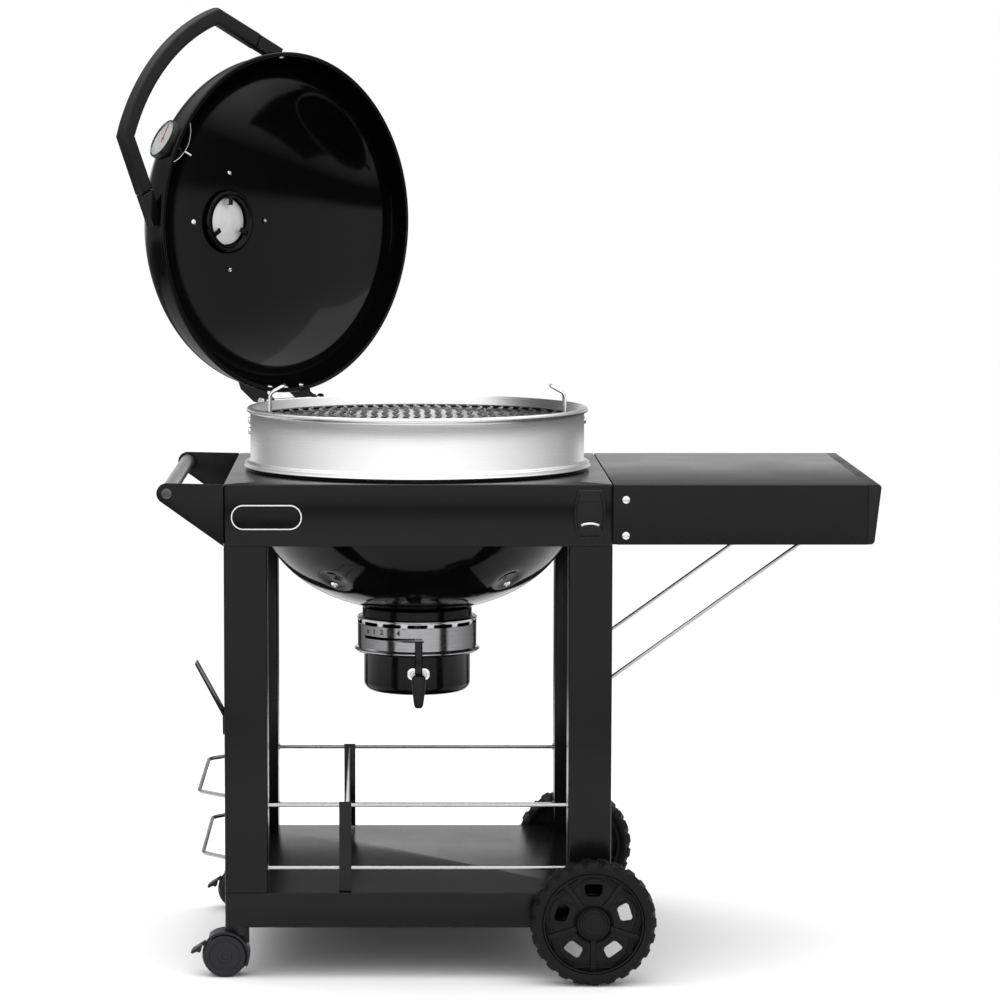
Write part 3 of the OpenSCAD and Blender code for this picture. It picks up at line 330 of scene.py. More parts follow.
def sweep(points, r, n=12, closed=False, flat=1.0):
    """A round rod along a list of points; flat squashes it along its own normal."""
    pts = [Vector(p) for p in points]
    m = len(pts)
    tangents = []
    for i in range(m):
        a = pts[(i - 1) % m] if closed or i else pts[i]
        b = pts[(i + 1) % m] if closed or i < m - 1 else pts[i]
        tangents.append((b - a).normalized())
    up = Vector((0, 0, 1)) if abs(tangents[0].z) < 0.9 else Vector((1, 0, 0))
    nrm = (up - tangents[0] * up.dot(tangents[0])).normalized()
    rings = []
    for i in range(m):
        nrm = (nrm - tangents[i] * nrm.dot(tangents[i])).normalized()
        side = tangents[i].cross(nrm)
        rings.append([tuple(pts[i] + nrm * (r * flat * math.cos(2 * PI * k / n)) + side * (r * math.sin(2 * PI * k / n)))
                      for k in range(n)])
    return stack(rings, caps=not closed, wrap=closed)


def fillet(points, r, steps=5):
    """Rounds the corners of a path."""
    pts = [Vector(p) for p in points]
    out = [pts[0]]
    for i in range(1, len(pts) - 1):
        a, b = (pts[i - 1] - pts[i]), (pts[i + 1] - pts[i])
        cut = min(r, a.length * 0.45, b.length * 0.45)
        p, q = pts[i] + a.normalized() * cut, pts[i] + b.normalized() * cut
        out += [p * (1 - t) ** 2 + pts[i] * 2 * t * (1 - t) + q * t * t for t in [s / steps for s in range(steps + 1)]]
    return out + [pts[-1]]


def plate(outlines, thick, bevel=0.6, segs=3):
    """A flat plate with holes, drawn in XY from z = 0 to thick, with eased edges."""
    cu = bpy.data.curves.new("plate", "CURVE")
    cu.dimensions = "2D"
    cu.fill_mode = "BOTH"
    cu.extrude = (thick / 2 - bevel) * MM
    cu.bevel_depth = bevel * MM
    cu.bevel_resolution = segs
    cu.offset = -bevel * MM
    for line in outlines:
        s = cu.splines.new("POLY")
        s.points.add(len(line) - 1)
        for q, (x, y) in zip(s.points, line):
            q.co = (x * MM, y * MM, 0, 1)
        s.use_cyclic_u = True
    o = bpy.data.objects.new("plate", cu)
    bpy.context.collection.objects.link(o)
    me = bpy.data.meshes.new_from_object(o.evaluated_get(bpy.context.evaluated_depsgraph_get()))
    bpy.data.objects.remove(o)
    verts = [(v.co.x / MM, v.co.y / MM, v.co.z / MM + thick / 2) for v in me.vertices]
    faces = [list(f.vertices) for f in me.polygons]
    bpy.data.meshes.remove(me)
    return verts, faces


def cut(o, *forms):
    """Takes closed forms (in mm) out of an object's mesh."""
    for form in forms:
        me = bpy.data.meshes.new("cutter")
        me.from_pydata([Vector(p) * MM for p in form[0]], [], form[1])
        bm = bmesh.new()
        bm.from_mesh(me)
        bmesh.ops.remove_doubles(bm, verts=bm.verts, dist=1e-6)
        bmesh.ops.recalc_face_normals(bm, faces=bm.faces)
        bm.to_mesh(me)
        bm.free()
        c = bpy.data.objects.new("cutter", me)
        bpy.context.collection.objects.link(c)
        mod = o.modifiers.new("cut", "BOOLEAN")
        mod.object = c
        mod.solver = "EXACT"
        bpy.context.view_layer.update()
        new = bpy.data.meshes.new_from_object(o.evaluated_get(bpy.context.evaluated_depsgraph_get()))
        o.modifiers.remove(mod)
        old = o.data
        new.name = old.name
        o.data = new
        bpy.data.objects.remove(c)
    o.data.polygons.foreach_set("use_smooth", [True] * len(o.data.polygons))
    o.data.set_sharp_from_angle(angle=rad(32))


def xform(form, m):
    return [m @ Vector(p) for p in form[0]], form[1]


def both(*forms):
    s = Shape()
    for f in forms:
        s.add(f)
    return s.v, s.f


FACE_FRONT = Matrix.Rotation(rad(90), 4, "X")      # XY plate -> XZ plate facing -Y


def screw_head(r=6.5, h=3.2):
    """A pan-head screw about +Z with a round socket."""
    prof = [(0, 0), (r, 0), (r, h * 0.4), (r * 0.93, h * 0.7), (r * 0.75, h * 0.92), (r * 0.48, h),
            (r * 0.44, h), (r * 0.42, h * 0.45), (0, h * 0.45)]
    return lathe(prof, 32)


# ---- cart ------------------------------------------------------------------------------------
put("cart_top", pan(CART_W, CART_D, TRAY_Z, TOP_Z, 6, hole=284.25), "cart_steel", "cart",
    "cart_top_tray", sharp=50)
put("bottom_pan", pan(CART_W, CART_D, SHELF_LOW, SHELF_Z, 6), "cart_steel", "cart", "bottom_shelf", sharp=50)
for name, sx, sy in (("leg_front_left", -1, -1), ("leg_front_right", 1, -1),
                     ("leg_rear_left", -1, 1), ("leg_rear_right", 1, 1)):
    s = Shape().add(block(LEG, LEG, SHELF_Z, TRAY_Z, 4, 0.8, sx * LEG_X, sy * LEG_Y))
    s.add(block(LEG - 5, LEG - 5, TRAY_Z - 5, TOP_Z - 3, 3, 0.5, sx * LEG_X, sy * LEG_Y))
    put(name + "_tube", s, "cart_steel", "cart", name, sharp=50)

RAIL_Y = CART_D / 2 - 12
s = Shape()
for y in (-RAIL_Y, RAIL_Y):
    for z in (185, 290):
        s.add(sweep([(-252, y, z), (-100, y, z), (100, y, z), (252, y, z)], 3.5, 16))
        for e in (-1, 1):
            s.add(xform(lathe([(3.5, 0), (6, 0), (6, 1.2), (3.5, 1.8)], 24),
                        place(e * 247.4, y, z) @ Matrix.Rotation(rad(-90 * e), 4, "Y")))
put("storage_rail_wires", s, "rail_steel", "cart", "storage_rails")
s = Shape()
for z, x in ((290, -368), (185, -362)):
    way = [(-300, -246, z), (-300, -236, z), (x, -166, z), (x, 166, z), (-300, 236, z), (-300, 246, z)]
    s.add(sweep(fillet(way, 14, 6), 3.5, 16))
put("side_rail_wires", s, "rail_steel", "cart", "left_side_rails")

DIV_X = -120
s = Shape()
for y in (-1, 1):
    s.add(box(DIV_X - 10, DIV_X + 10, y * RAIL_Y - 5.5, y * RAIL_Y - 4, 146, 293, 0.6, 0.4))
    s.add(box(DIV_X - 10, DIV_X + 10, y * RAIL_Y + 4, y * RAIL_Y + 5.5, 146, 293, 0.6, 0.4))
    hook = arc2(0, 0, 5.4, 0, 180, 12) + arc2(0, 0, 4, 180, 0, 12)
    s.add(xform(plate([hook], 20, 0.25), place(DIV_X - 10, y * RAIL_Y, 290)
                @ Matrix.Rotation(rad(90), 4, "Z") @ Matrix.Rotation(rad(90), 4, "X")))
s.add(box(DIV_X - 0.75, DIV_X + 0.75, -RAIL_Y + 5, RAIL_Y - 5, 146, 293, 0.4, 0.4))
put("divider_sheet", s, "gloss_black_steel", "divider", "shelf_divider")

tool = [(LEFT, 408), (LEFT - 3, 408), (LEFT - 3, 439), (-367, 524.5), (-364.5, 526), (LEFT, 442)]
put("tool_rest", xform(plate([tool], 46, 0.5), place(0, -257, 0) @ FACE_FRONT), "cart_steel", "cart",
    "tool_rest_plate", sharp=30)

# plain pill-shaped plaque with a bright border, in place of any badge
pill = place(-248, FRONT, 768) @ FACE_FRONT
put("plaque_plate", xform(plate([rr(119, 44, 21.5, 12)], 2.4, 0.8), pill), "plaque", "cart", "front_plaque")
put("plaque_border", xform(plate([rr(116, 41, 20, 12), rr(112, 37, 18, 12)], 0.7, 0.2),
                           pill @ place(0, 0, 2.2)), "badge_line", "cart")

# bottle opener
OX, OZ = 281.0, 772.5


def opener_outline(k, half=41.0):
    side = [((26 - 7 * t * t) * k, half * t * k) for t in [i / 12 - 1 for i in range(25)]]
    return side + [(-x, z) for x, z in reversed(side)]


def clip_outline(line, low, high):
    kept = [(x, min(max(z, low), high)) for x, z in line]
    out = []
    for p in kept:
        if not out or (abs(p[0] - out[-1][0]) + abs(p[1] - out[-1][1])) > 0.3:
            out.append(p)
    return out


on_panel = place(OX, FRONT, OZ) @ FACE_FRONT
s = Shape().add(xform(plate([opener_outline(1.0), opener_outline(0.86)], 6.8, 1.6, 4), on_panel))
s.add(xform(plate([opener_outline(0.9)], 2.2, 0.3), on_panel))
s.add(xform(plate([clip_outline(opener_outline(0.88), 22, 41)], 5.4, 1.4, 4), on_panel))
lip_top = [(x, -24 + 9 * math.cos(x / 21 * PI / 2)) for x in [20 - 4 * i for i in range(11)]]
s.add(xform(plate([[(-18, -35), (18, -35)] + lip_top], 6.0, 1.5, 4), on_panel))
put("opener_body", s, "black_plastic", "cart", "bottle_opener_plate")
tooth = arc2(0, -47, 35, 64, 116, 14) + arc2(0, -47, 31.5, 116, 64, 14)
put("opener_tooth", xform(plate([tooth], 6.5, 0.5), on_panel @ place(0, 0, 2.3)), "bright_steel", "cart",
    "bottle_opener_tooth")

# push bar and its brackets
HX, HZ = -411.0, 807.0


def tangent_point(p, c, r, s):
    d = math.hypot(c[0] - p[0], c[1] - p[1])
    a = math.atan2(p[1] - c[1], p[0] - c[0]) + s * math.acos(r / d)
    return (c[0] + r * math.cos(a), c[1] + r * math.sin(a)), math.degrees(a)


_, a_hi = tangent_point((LEFT, TOP_Z), (HX, HZ), 17, 1)
_, a_lo = tangent_point((LEFT, TRAY_Z), (HX, HZ), 17, -1)
outline = [(LEFT, TRAY_Z), (LEFT, TOP_Z)] + arc2(HX, HZ, 17, a_hi, a_lo + 360 if a_lo < a_hi else a_lo, 18)
for name, y, body_y in (("handle_bracket_front", FRONT + 3, 1), ("handle_bracket_rear", REAR, -1)):
    s = Shape().add(xform(plate([outline], 3, 0.8), place(0, y, 0) @ FACE_FRONT))
    y0 = FRONT + 2 if body_y > 0 else REAR - 28
    s.add(box(LEFT - 2, LEFT, y0, y0 + 26, TRAY_Z + 4, TOP_Z - 4, 0.8, 0.8))
    s.add(xform(lathe([(13, 0), (16.4, 0), (16.4, 1.6), (15.6, 2.4), (13, 2.4)], 40),
                place(HX, FRONT + 3 if body_y > 0 else REAR - 3, HZ) @ Matrix.Rotation(rad(-90 * body_y), 4,
                "X")))
    put(name + "_plate", s, "cart_steel", "cart", name)
put("push_bar", sweep([(HX, -308.5, HZ), (HX, -300, HZ), (HX, -100, HZ), (HX, 100, HZ), (HX, 300, HZ),
    (HX, 308.5, HZ)], 12.4, 40),
    "handle_tube", "cart", "cart_handle_bar")
s = Shape()
for e in (-1, 1):
    s.add(xform(screw_head(9, 3.6), place(HX, e * 312.1, HZ) @ Matrix.Rotation(rad(90 if e < 0 else -90), 4,
        "X")))
    for z in (TRAY_Z + 20, TOP_Z - 20):
        s.add(xform(screw_head(6, 2.6), place(LEFT - 2, e * 295, z) @ Matrix.Rotation(rad(-90), 4, "Y")))
put("bar_screws", s, "dark_fastener", "cart", "handle_bolts")

# ---- wheels ----------------------------------------------------------------------------------
def tyre_form():
    """Tyre with moulded lugs all round, about its own Z."""
    n, h = 240, WHEEL_W / 2
    prof = [(84.1, -h + 3), (88, -h + 0.4), (92, -h), (95, -h + 0.3), (99, -h + 3), (102.5, -h + 7),
        (103.8, -h + 12),
            (103.9, 0), (103.8, h - 12), (102.5, h - 7), (99, h - 3), (95, h - 0.3), (92, h), (88, h - 0.4),
            (84.1, h - 3)]
    verts = []
    for i in range(n):
        th = 2 * PI * i / n
        for r, z in prof:
            side = 1 if z > 0.1 else -1 if z < -0.1 else 0
            lug = math.sin(24 * th + side * 1.1)
            deep = max(0.0, min(1.0, (-lug - 0.25) * 3.5))
            if abs(z) < 1:
                deep = 1.0
            if r > 98:
                r -= 3.4 * deep
                z *= 1 - 0.02 * deep
            verts.append((r * math.cos(th), r * math.sin(th), z))
    k = len(prof)
    faces = [[i * k + a, ((i + 1) % n) * k + a, ((i + 1) % n) * k + (a + 1) % k, i * k + (a + 1) % k]
             for i in range(n) for a in range(k)]
    return verts, faces


def hub_form():
    h = WHEEL_W / 2
    holes = []
    for i in range(5):
        a = rad(90 + 72 * i)
        hole = [(54 + x, y * (1 + x * 0.012)) for x, y in rr(20, 28, 5.5, 6)]
        holes.append([(x * math.cos(a) - y * math.sin(a), x * math.sin(a) + y * math.cos(a)) for x, y in hole])
    s = Shape()
    circle = arc2(0, 0, 83.9, 0, 360, 120)[:-1]
    s.add(xform(plate([circle] + holes, 8, 1.2, 3), place(0, 0, 2)))
    lobed = [((77.5 + 5.0 * math.cos(5 * (t - PI / 2))) * math.cos(t),
        (77.5 + 5.0 * math.cos(5 * (t - PI / 2))) * math.sin(t), 10.2)
             for t in [2 * PI * i / 180 for i in range(180)]]
    inner = [(x * 0.9, y * 0.9, 10.0) for x, y, z in lobed]
    s.add(sweep(lobed, 2.6, 10, closed=True))
    s.add(sweep(inner, 1.6, 8, closed=True))
    s.add(lathe([(78.5, -h + 6), (83.9, -h + 6), (83.9, h - 6), (82.5, h - 4.5), (80.2, h - 5), (78.5, 10),
        (78.5, 2)], 120))
    s.add(lathe([(6.1, -h + 4), (26, -h + 4), (27, -h + 5), (27, 6), (30, 9), (34, 10.2), (30, 13),
        (27.5, 18.5), (26.5, h - 4.2),
                 (6.1, h - 4)], 72))
    for i in range(5):
        m = turn_z(90 + 36 + 72 * i)
        s.add(xform(box(27, 80, -4.5, 4.5, 8, 14, 2, 1.8), m))
        s.add(xform(box(27, 80, -1.6, 1.6, -14, 4, 1, 0.8), m))
        for e in (-1, 1):
            s.add(xform(box(40, 68, -17 - 1.6, -17 + 1.6, 9, 11.6, 1, 1),
                turn_z(90 + 72 * i) @ Matrix.Scale(e, 4, (0, 1, 0))))
    return s.v, s.f


def cap_form():
    h = WHEEL_W / 2
    return both(lathe([(0, h - 2.5), (23, h - 2.5), (23.9, h - 1.8), (23.9, h - 0.6), (22.4, h + 1.2),
        (20.5, h + 1.6),
                       (19.8, h + 1.0), (18.6, h + 1.0), (17.8, h + 1.9), (12, h + 2.7), (0, h + 2.9)], 64))


caps = Shape()
for side, e in (("front", -1), ("rear", 1)):
    m = place(WHEEL_AT[0], e * WHEEL_AT[1], WHEEL_AT[2]) @ Matrix.Rotation(rad(90 if e < 0 else -90), 4, "X")
    if e > 0:
        m = m @ Matrix.Scale(-1, 4, (0, 1, 0))
    put(f"{side}_tyre", xform(tyre_form(), m), "tyre", f"{side}_wheel", f"wheel_{side}_tyre", sharp=38)
    put(f"{side}_hub", xform(hub_form(), m), "wheel_plastic", f"{side}_wheel", f"wheel_{side}_hub")
    caps.add(cap_form(), m)
put("hub_caps", caps, "wheel_plastic", "cart", "wheel_caps")

# ---- casters ---------------------------------------------------------------------------------
CWX, CR = -320.0, 35.5


def caster_wheel():
    face = [(0, 15.2), (5, 15.2), (5.6, 16.6), (8, 17), (11, 16.6), (12, 15.6), (25, 15.2), (26, 16.4),
        (28.5, 17.2), (31, 16.8)]
    rim = arc2(31.5, 12.8, 4, 80, 0, 6) + [(35.5, 4), (34.8, 1.2), (33, 0), (0, 0)]
    return lathe(face + rim, 72)


for side, e in (("front", -1), ("rear", 1)):
    cy = e * 277.0
    s = Shape()
    for d in (-1, 1):
        s.add(xform(caster_wheel(), place(CWX, cy + d * 5.5, CR) @ Matrix.Rotation(rad(-90 * d), 4, "X")))
    s.add(sweep([(CWX, cy - 8, CR), (CWX, cy + 8, CR)], 4, 24))
    put(f"{side}_caster_discs", s, "caster_plastic", f"{side}_caster_wheels", f"caster_{side}_wheels")

# ---- side shelf ------------------------------------------------------------------------------
def channel(x0, x1, z0, z1, t=1.5, r=3.5):
    """Sheet folded down at the front and the rear, running along X."""
    outer = [(FRONT, z0)] + [(y, z) for y, z in arc2(FRONT + r, z1 - r, r, 180, 90, 6)] \
        + arc2(REAR - r, z1 - r, r, 90, 0, 6) + [(REAR, z0)]
    inner = [(REAR - t, z0)] + arc2(REAR - r, z1 - r, r - t, 0, 90, 6) + arc2(FRONT + r, z1 - r, r - t, 90, 180,
        6) \
        + [(FRONT + t, z0)]
    line = outer + inner
    return stack([[(x, y, z) for y, z in line] for x in (x0, x0 + 0.4, x1 - 0.4, x1)])


shelf = put("side_shelf_sheet", channel(SIDE_X, SIDE_JOINT, SIDE_LOW, TOP_Z), "cart_steel", "side_shelf",
    "side_shelf_panel",
            sharp=40)
corner = [(SIDE_X - 5, SIDE_LOW - 5), (FOLD[0], SIDE_LOW - 5), (FOLD[0], FOLD[1] - 20.4)] \
    + arc2(FOLD[0], FOLD[1], 20.4, 270, 180, 10)[1:] + [(SIDE_X - 5, FOLD[1])]
cut(shelf, xform(plate([corner], 700, 0.01, 0), place(0, 350, 0) @ FACE_FRONT))
s = Shape()
for y in (-150, 150):
    s.add(box(644.7, 657.7, y - 6, y + 6, 735, 821, 0.8, 0.5))
    s.add(box(657.7, 670.7, y - 6, y + 6, 738.5, 821, 0.8, 0.5))
s.add(box(SIDE_X + 3, SIDE_JOINT - 2, -60, -57, 806, 821, 0.6, 0.4))
s.add(box(SIDE_X + 3, SIDE_JOINT - 2, 57, 60, 806, 821, 0.6, 0.4))
put("side_shelf_saddles", s, "cart_steel", "side_shelf")
cap_line = [(SIDE_JOINT + 0.1, SIDE_LOW), (SIDE_JOINT + 0.1, TOP_Z)] + arc2(SIDE_END - 6, TOP_Z - 6, 6, 90, 0,
    6) \
    + arc2(SIDE_END - 17, SIDE_LOW + 7, 7, 0, -90, 6)
s = Shape().add(xform(plate([cap_line], CART_D, 2.2, 4), place(0, REAR, 0) @ FACE_FRONT))
put("side_shelf_end", s, "black_plastic", "side_shelf", "side_shelf_end_cap", sharp=40)
s = Shape()
for e in (-1, 1):
    m = Matrix.Rotation(rad(90 if e < 0 else -90), 4, "X")
    s.add(xform(screw_head(6.5, 3.0), place(FOLD[0], e * 312.4, FOLD[1]) @ m))
    s.add(xform(lathe([(0, 0), (3, 0), (3, 12), (0, 12)], 24),
        place(FOLD[0], e * 312.4, FOLD[1]) @ m @ place(0, 0, -12)))
put("fold_pivots", s, "bright_steel", "cart", "shelf_bolts")
s = Shape()
for e in (-1, 1):
    s.add(xform(screw_head(6.5, 3.0), place(FOLD[0], e * 312, 797) @ Matrix.Rotation(rad(90 if e < 0 else -90),
        4, "X")))
put("lock_screws", s, "bright_steel", "side_shelf", "shelf_screws")
a, b = (305, 481.2), (657.7, 735.4)
way = [(a[0], -246, a[1]), (a[0], -235, a[1]), (b[0], -235, b[1]), (b[0], 235, b[1]), (a[0], 235, a[1]),
    (a[0], 246, a[1])]
put("stay_wire", sweep(fillet(way, 9, 6), 3, 14), "rail_steel", "stay", "shelf_stay")

# ---- bowl, ring and grates -------------------------------------------------------------------
def bowl_form(n=192, k=56):
    pts = []
    for i in range(k + 1):
        t = PI / 2 * i / k
        pts.append((BOWL_A * math.cos(t) ** (2 / 2.2),
            BOWL_RIM - BOWL_DEPTH * math.sin(t) ** (2 / 2.5) if i else BOWL_RIM))
    outer = [p for p in pts if p[0] > 80] + [(80, BOWL_RIM - BOWL_DEPTH + 0.3)]
    inner = [(max(r - 1.5, 80), z + (1.5 if r < 230 else 0.9)) for r, z in reversed(outer)]
    inner[-1] = (BOWL_A - 1.5, BOWL_RIM)
    prof = outer + inner
    verts, faces = lathe(prof, n)
    out = []
    for p in verts:
        v = Vector(p)
        az = math.degrees(math.atan2(v.y, v.x))
        for c in (229.6, 315.3, 92.0):
            d = (az - c + 180) % 360 - 180
            e = math.hypot(d * rad(1) * 213 / 27, (v.z - 646) / 17)
            if e < 1.5 and math.hypot(v.x, v.y) > 150:
                w = 1 / (1 + (e / 0.82) ** 8)
                u = Vector((v.x, v.y, 0)).normalized()
                v = v - (u * 0.8 + Vector((0, 0, -0.6))) * (4.0 * w)
        out.append(v)
    return out, faces


s = Shape().add(bowl_form())
s.add(lathe([(281.6, 822), (291.4, 822), (292.9, 823), (292.9, 824.6), (291.5, 826), (281.6, 826)], 160))
# the vented floor of the bowl
floor_holes = []
for a0 in (90, 210, 330):
    floor_holes.append(arc2(0, 0, 77, a0 - 19, a0 + 19, 10) + arc2(0, 0, 29, a0 + 19, a0 - 19, 6))
s.add(xform(plate([arc2(0, 0, 82, 0, 360, 96)[:-1], arc2(0, 0, 6.1, 0, 360, 24)[:-1]] + floor_holes, 1.6, 0.2),
            place(0, 0, BOWL_RIM - BOWL_DEPTH)))
put("bowl_shell", s, "enamel", "cart", "bowl", sharp=40)

ring_line = [(284.25, RING_Z), (294.6, RING_Z)] + arc2(294.9, RING_Z + 2.0, 1.6, -60, 60,
    4) + [(294.9, RING_Z + 6.2)] \
    + arc2(292.4, RING_Z + 7.0, 2.6, 10, 80, 4) + [(287.4, RING_Z + 10.6), (285.75, RING_Z + 13),
    (285.75, RING_TOP - 12)] \
    + [(286.4, RING_TOP - 9.6)] + arc2(288.2, RING_TOP - 4.6, 4.2, -70, 90, 10) + [(285.2, RING_TOP),
    (284.25, RING_TOP - 1)]
put("ring_band", lathe(ring_line, 192), "brushed_ring", "cart", "kettle_ring", sharp=45)

s = Shape()
for az, z in ((0, 904), (90, 904), (180, 904), (180, 886), (129, 880), (141, 880)):
    plate_t = 3.2 if 100 < az < 170 else 0
    s.add(xform(screw_head(6, 3.6), turn_z(az) @ place(RING_R + 0.1 + plate_t, 0, z) @ Matrix.Rotation(rad(90),
        4, "Y")))
    s.add(xform(lathe([(0, -6), (3, -6), (3, 0), (0, 0)], 20),
        turn_z(az) @ place(RING_R, 0, z) @ Matrix.Rotation(rad(90), 4, "Y")))
for az in (229, 315, 92):
    s.add(xform(screw_head(6.5, 3.4), turn_z(az) @ place(205, 0, 646) @ Matrix.Rotation(rad(130), 4,
        "Y") @ place(0, 0, 8.6)))
put("kettle_screws", s, "bright_steel", "cart", "kettle_bolts")

GRATE_Z, GRATE_R = 910.5, 276.0
s = Shape()
pitch = 18.4
count = int((GRATE_R - 4) // pitch)
for i in range(-count, count + 1):
    x = i * pitch
    half = math.sqrt(GRATE_R ** 2 - x * x)
    m = max(6, int(half * 2 / 9))
    line = []
    for j in range(m + 1):
        y = -half + 2 * half * j / m
        ease = min(1.0, (half - abs(y)) / 18)
        line.append((x + 4.2 * ease * math.sin(2 * PI * y / 96), y, GRATE_Z))
    s.add(sweep(line, 2.5, 8))
rim = [(GRATE_R * math.cos(2 * PI * i / 160), GRATE_R * math.sin(2 * PI * i / 160),
    GRATE_Z) for i in range(160)]
s.add(sweep(rim, 2.9, 10, closed=True))
for e in (-1, 1):
    s.add(sweep([(e * 253, -88, GRATE_Z - 3.6), (e * 253, 88, GRATE_Z - 3.6)], 2.4, 8))
    s.add(sweep([(e * 120, -238, GRATE_Z - 3.6), (e * 120, 238, GRATE_Z - 3.6)], 2.4, 8))
put("grate_bars", s, "wire_grate", "cart", "cooking_grate")
s = Shape()
for e in (-1, 1):
    way = [(e * 252, -24, GRATE_Z - 2), (e * 252, -24, GRATE_Z + 40), (e * 228, -24, GRATE_Z + 53.4),
           (e * 228, 24, GRATE_Z + 53.4), (e * 252, 24, GRATE_Z + 40), (e * 252, 24, GRATE_Z - 2)]
    s.add(sweep(fillet(way, 8, 6), 2.5, 12))
put("grate_handles", s, "bright_steel", "cart")

# ---- air collar, lever and ash bucket ----------------------------------------------------------
wall = [(100.8, COLLAR_Z), (106.4, COLLAR_Z)] + arc2(106.2, COLLAR_Z + 1.8, 1.7, -70, 80, 5) \
    + [(103.4, COLLAR_Z + 4.4), (102, COLLAR_Z + 6.4), (102, 525), (102, 532.5), (102, 541.5), (102, 547),
    (102, 554.5),
       (102, BAND_TOP - 4), (102.6, BAND_TOP - 3)] \
    + arc2(101.6, BAND_TOP - 1.6, 1.6, -20, 90, 5) + [(100.8, BAND_TOP), (100.8, BAND_TOP - 4), (100.8, 554.5),
    (100.8, 541.5),
                                                      (100.8, 532.5)]
collar = put("collar_band", lathe(wall, 144), "polished_collar", "cart", "air_collar", sharp=45)
put("collar_neck", lathe([(100.7, BAND_TOP - 1.4), (100.7, BAND_TOP - 0.3), (96, BAND_TOP - 0.2),
    (94.4, BAND_TOP + 0.6),
                          (94, BAND_TOP + 2), (94, COLLAR_TOP - 1.5), (93, COLLAR_TOP), (84, COLLAR_TOP),
                          (84, COLLAR_TOP - 1.2),
                          (92.8, COLLAR_TOP - 1.3), (92.8, BAND_TOP - 1.4)], 144), "bucket_black", "cart")
# a dark lining inside the collar: painted shade, so the slots show black instead of the light from behind them
liner = put("collar_painted_shade_liner", lathe([(100.3, COLLAR_Z + 0.5), (100.74, COLLAR_Z + 0.5), (100.74, BAND_TOP - 2),
    (93, BAND_TOP - 2),
                                    (93, BAND_TOP - 2.6), (100.3, BAND_TOP - 2.6)], 144), "mark_dark", "cart")
SLOT_Z, LEVER_Z = 559.5, 537.0     # the middle heights of the upper slots and of the lever
pills = []
for i in range(14):
    pills.append(xform(plate([rr(34, 6, 2.95, 6)], 40, 0.01, 0),
                       turn_z(270 + 360 * i / 14) @ place(85, 0, SLOT_Z) @ SIDEWAYS))
slot_ring = []
for k, (r, dz) in enumerate(((90, -2.6), (112, -2.6), (112, 2.6), (90, 2.6))):
    slot_ring.append([(r * math.cos(rad(a)), r * math.sin(rad(a)),
        LEVER_Z + dz) for a in [209 + 58 * i / 24 for i in range(25)]])
sv = [p for row in slot_ring for p in row]
sf = [[a * 25 + i, a * 25 + i + 1, ((a + 1) % 4) * 25 + i + 1,
    ((a + 1) % 4) * 25 + i] for a in range(4) for i in range(24)]
sf += [[0, 25, 50, 75], [24, 49, 74, 99]]
cut(collar, *pills, (sv, sf))
cut(liner, *pills, (sv, sf))

# the lever's numbers, a plain 1 to 4 scale with a mark for shut
s = Shape()
for label, az in (("x", 214.5), ("1", 224), ("2", 233.5), ("3", 242.5), ("4", 251.5)):
    cu = bpy.data.curves.new("digit", "FONT")
    cu.body = label
    cu.size = 12 * MM
    cu.offset = 0.4 * MM
    cu.align_x, cu.align_y = "CENTER", "CENTER"
    cu.extrude = 0.12 * MM
    o = bpy.data.objects.new("digit", cu)
    bpy.context.collection.objects.link(o)
    me = bpy.data.meshes.new_from_object(o.evaluated_get(bpy.context.evaluated_depsgraph_get()))
    bpy.data.objects.remove(o)
    bpy.data.curves.remove(cu)
    form = ([(v.co.x / MM, v.co.y / MM, v.co.z / MM) for v in me.vertices],
        [list(f.vertices) for f in me.polygons])
    bpy.data.meshes.remove(me)
    s.add(form, turn_z(az) @ place(COLLAR_R + 0.2, 0, 548) @ SIDEWAYS)
put("collar_scale", s, "mark_dark", "cart", sharp=20)

put("bucket_shell", lathe([(0, 440)] + arc2(77, 454, 14, -90, 0, 8) + [(91, 504), (91.6, 506), (103, 508),
    (104.6, 509)]
                          + [(104.4, 510.1), (89.8, 510.1), (89.8, 454)] + arc2(77, 454, 12.8, 0, -90,
                          8)[1:] + [(0, 441.2)], 144),
    "bucket_black", "bucket", "ash_bucket", sharp=40)
s = Shape()
GX = 2.0
s.add(xform(plate([rr(37.8, 20.8, 8.8, 8)], 2.2, 0.7), place(GX, -91.2, 478) @ FACE_FRONT))
s.add(xform(plate([rr(31, 14, 6.5, 8), rr(26, 9.5, 4.5, 8)], 1.0, 0.3), place(GX, -92.6, 478) @ FACE_FRONT))
s.add(box(GX - 6.8, GX + 6.8, -101, -91, 475.2, 486.8, 2.5, 1.5))
put("latch_plate", s, "bright_steel", "bucket", "ash_bucket_grip")


def grip_form():
    """A tapered, slightly waisted handle, along its own -Z."""
    rings = []
    for t, wx, wy in ((0, 6, 3.3), (0.02, 9.5, 4.7), (0.07, 11.6, 5.6), (0.2, 12.3, 5.9), (0.45, 11.4, 5.8),
        (0.7, 9.4, 5.3),
                      (0.87, 8.2, 5.0), (0.95, 7, 4.4), (0.99, 5, 3.2), (1.0, 2.5, 1.6)):
        z = 29.5 - 59 * t
        rings.append([(wx * math.copysign(abs(math.cos(a)) ** 0.75, math.cos(a)),
            wy * math.copysign(abs(math.sin(a)) ** 0.75, math.sin(a)), z)
                      for a in [2 * PI * i / 32 for i in range(32)]])
    return stack(rings)


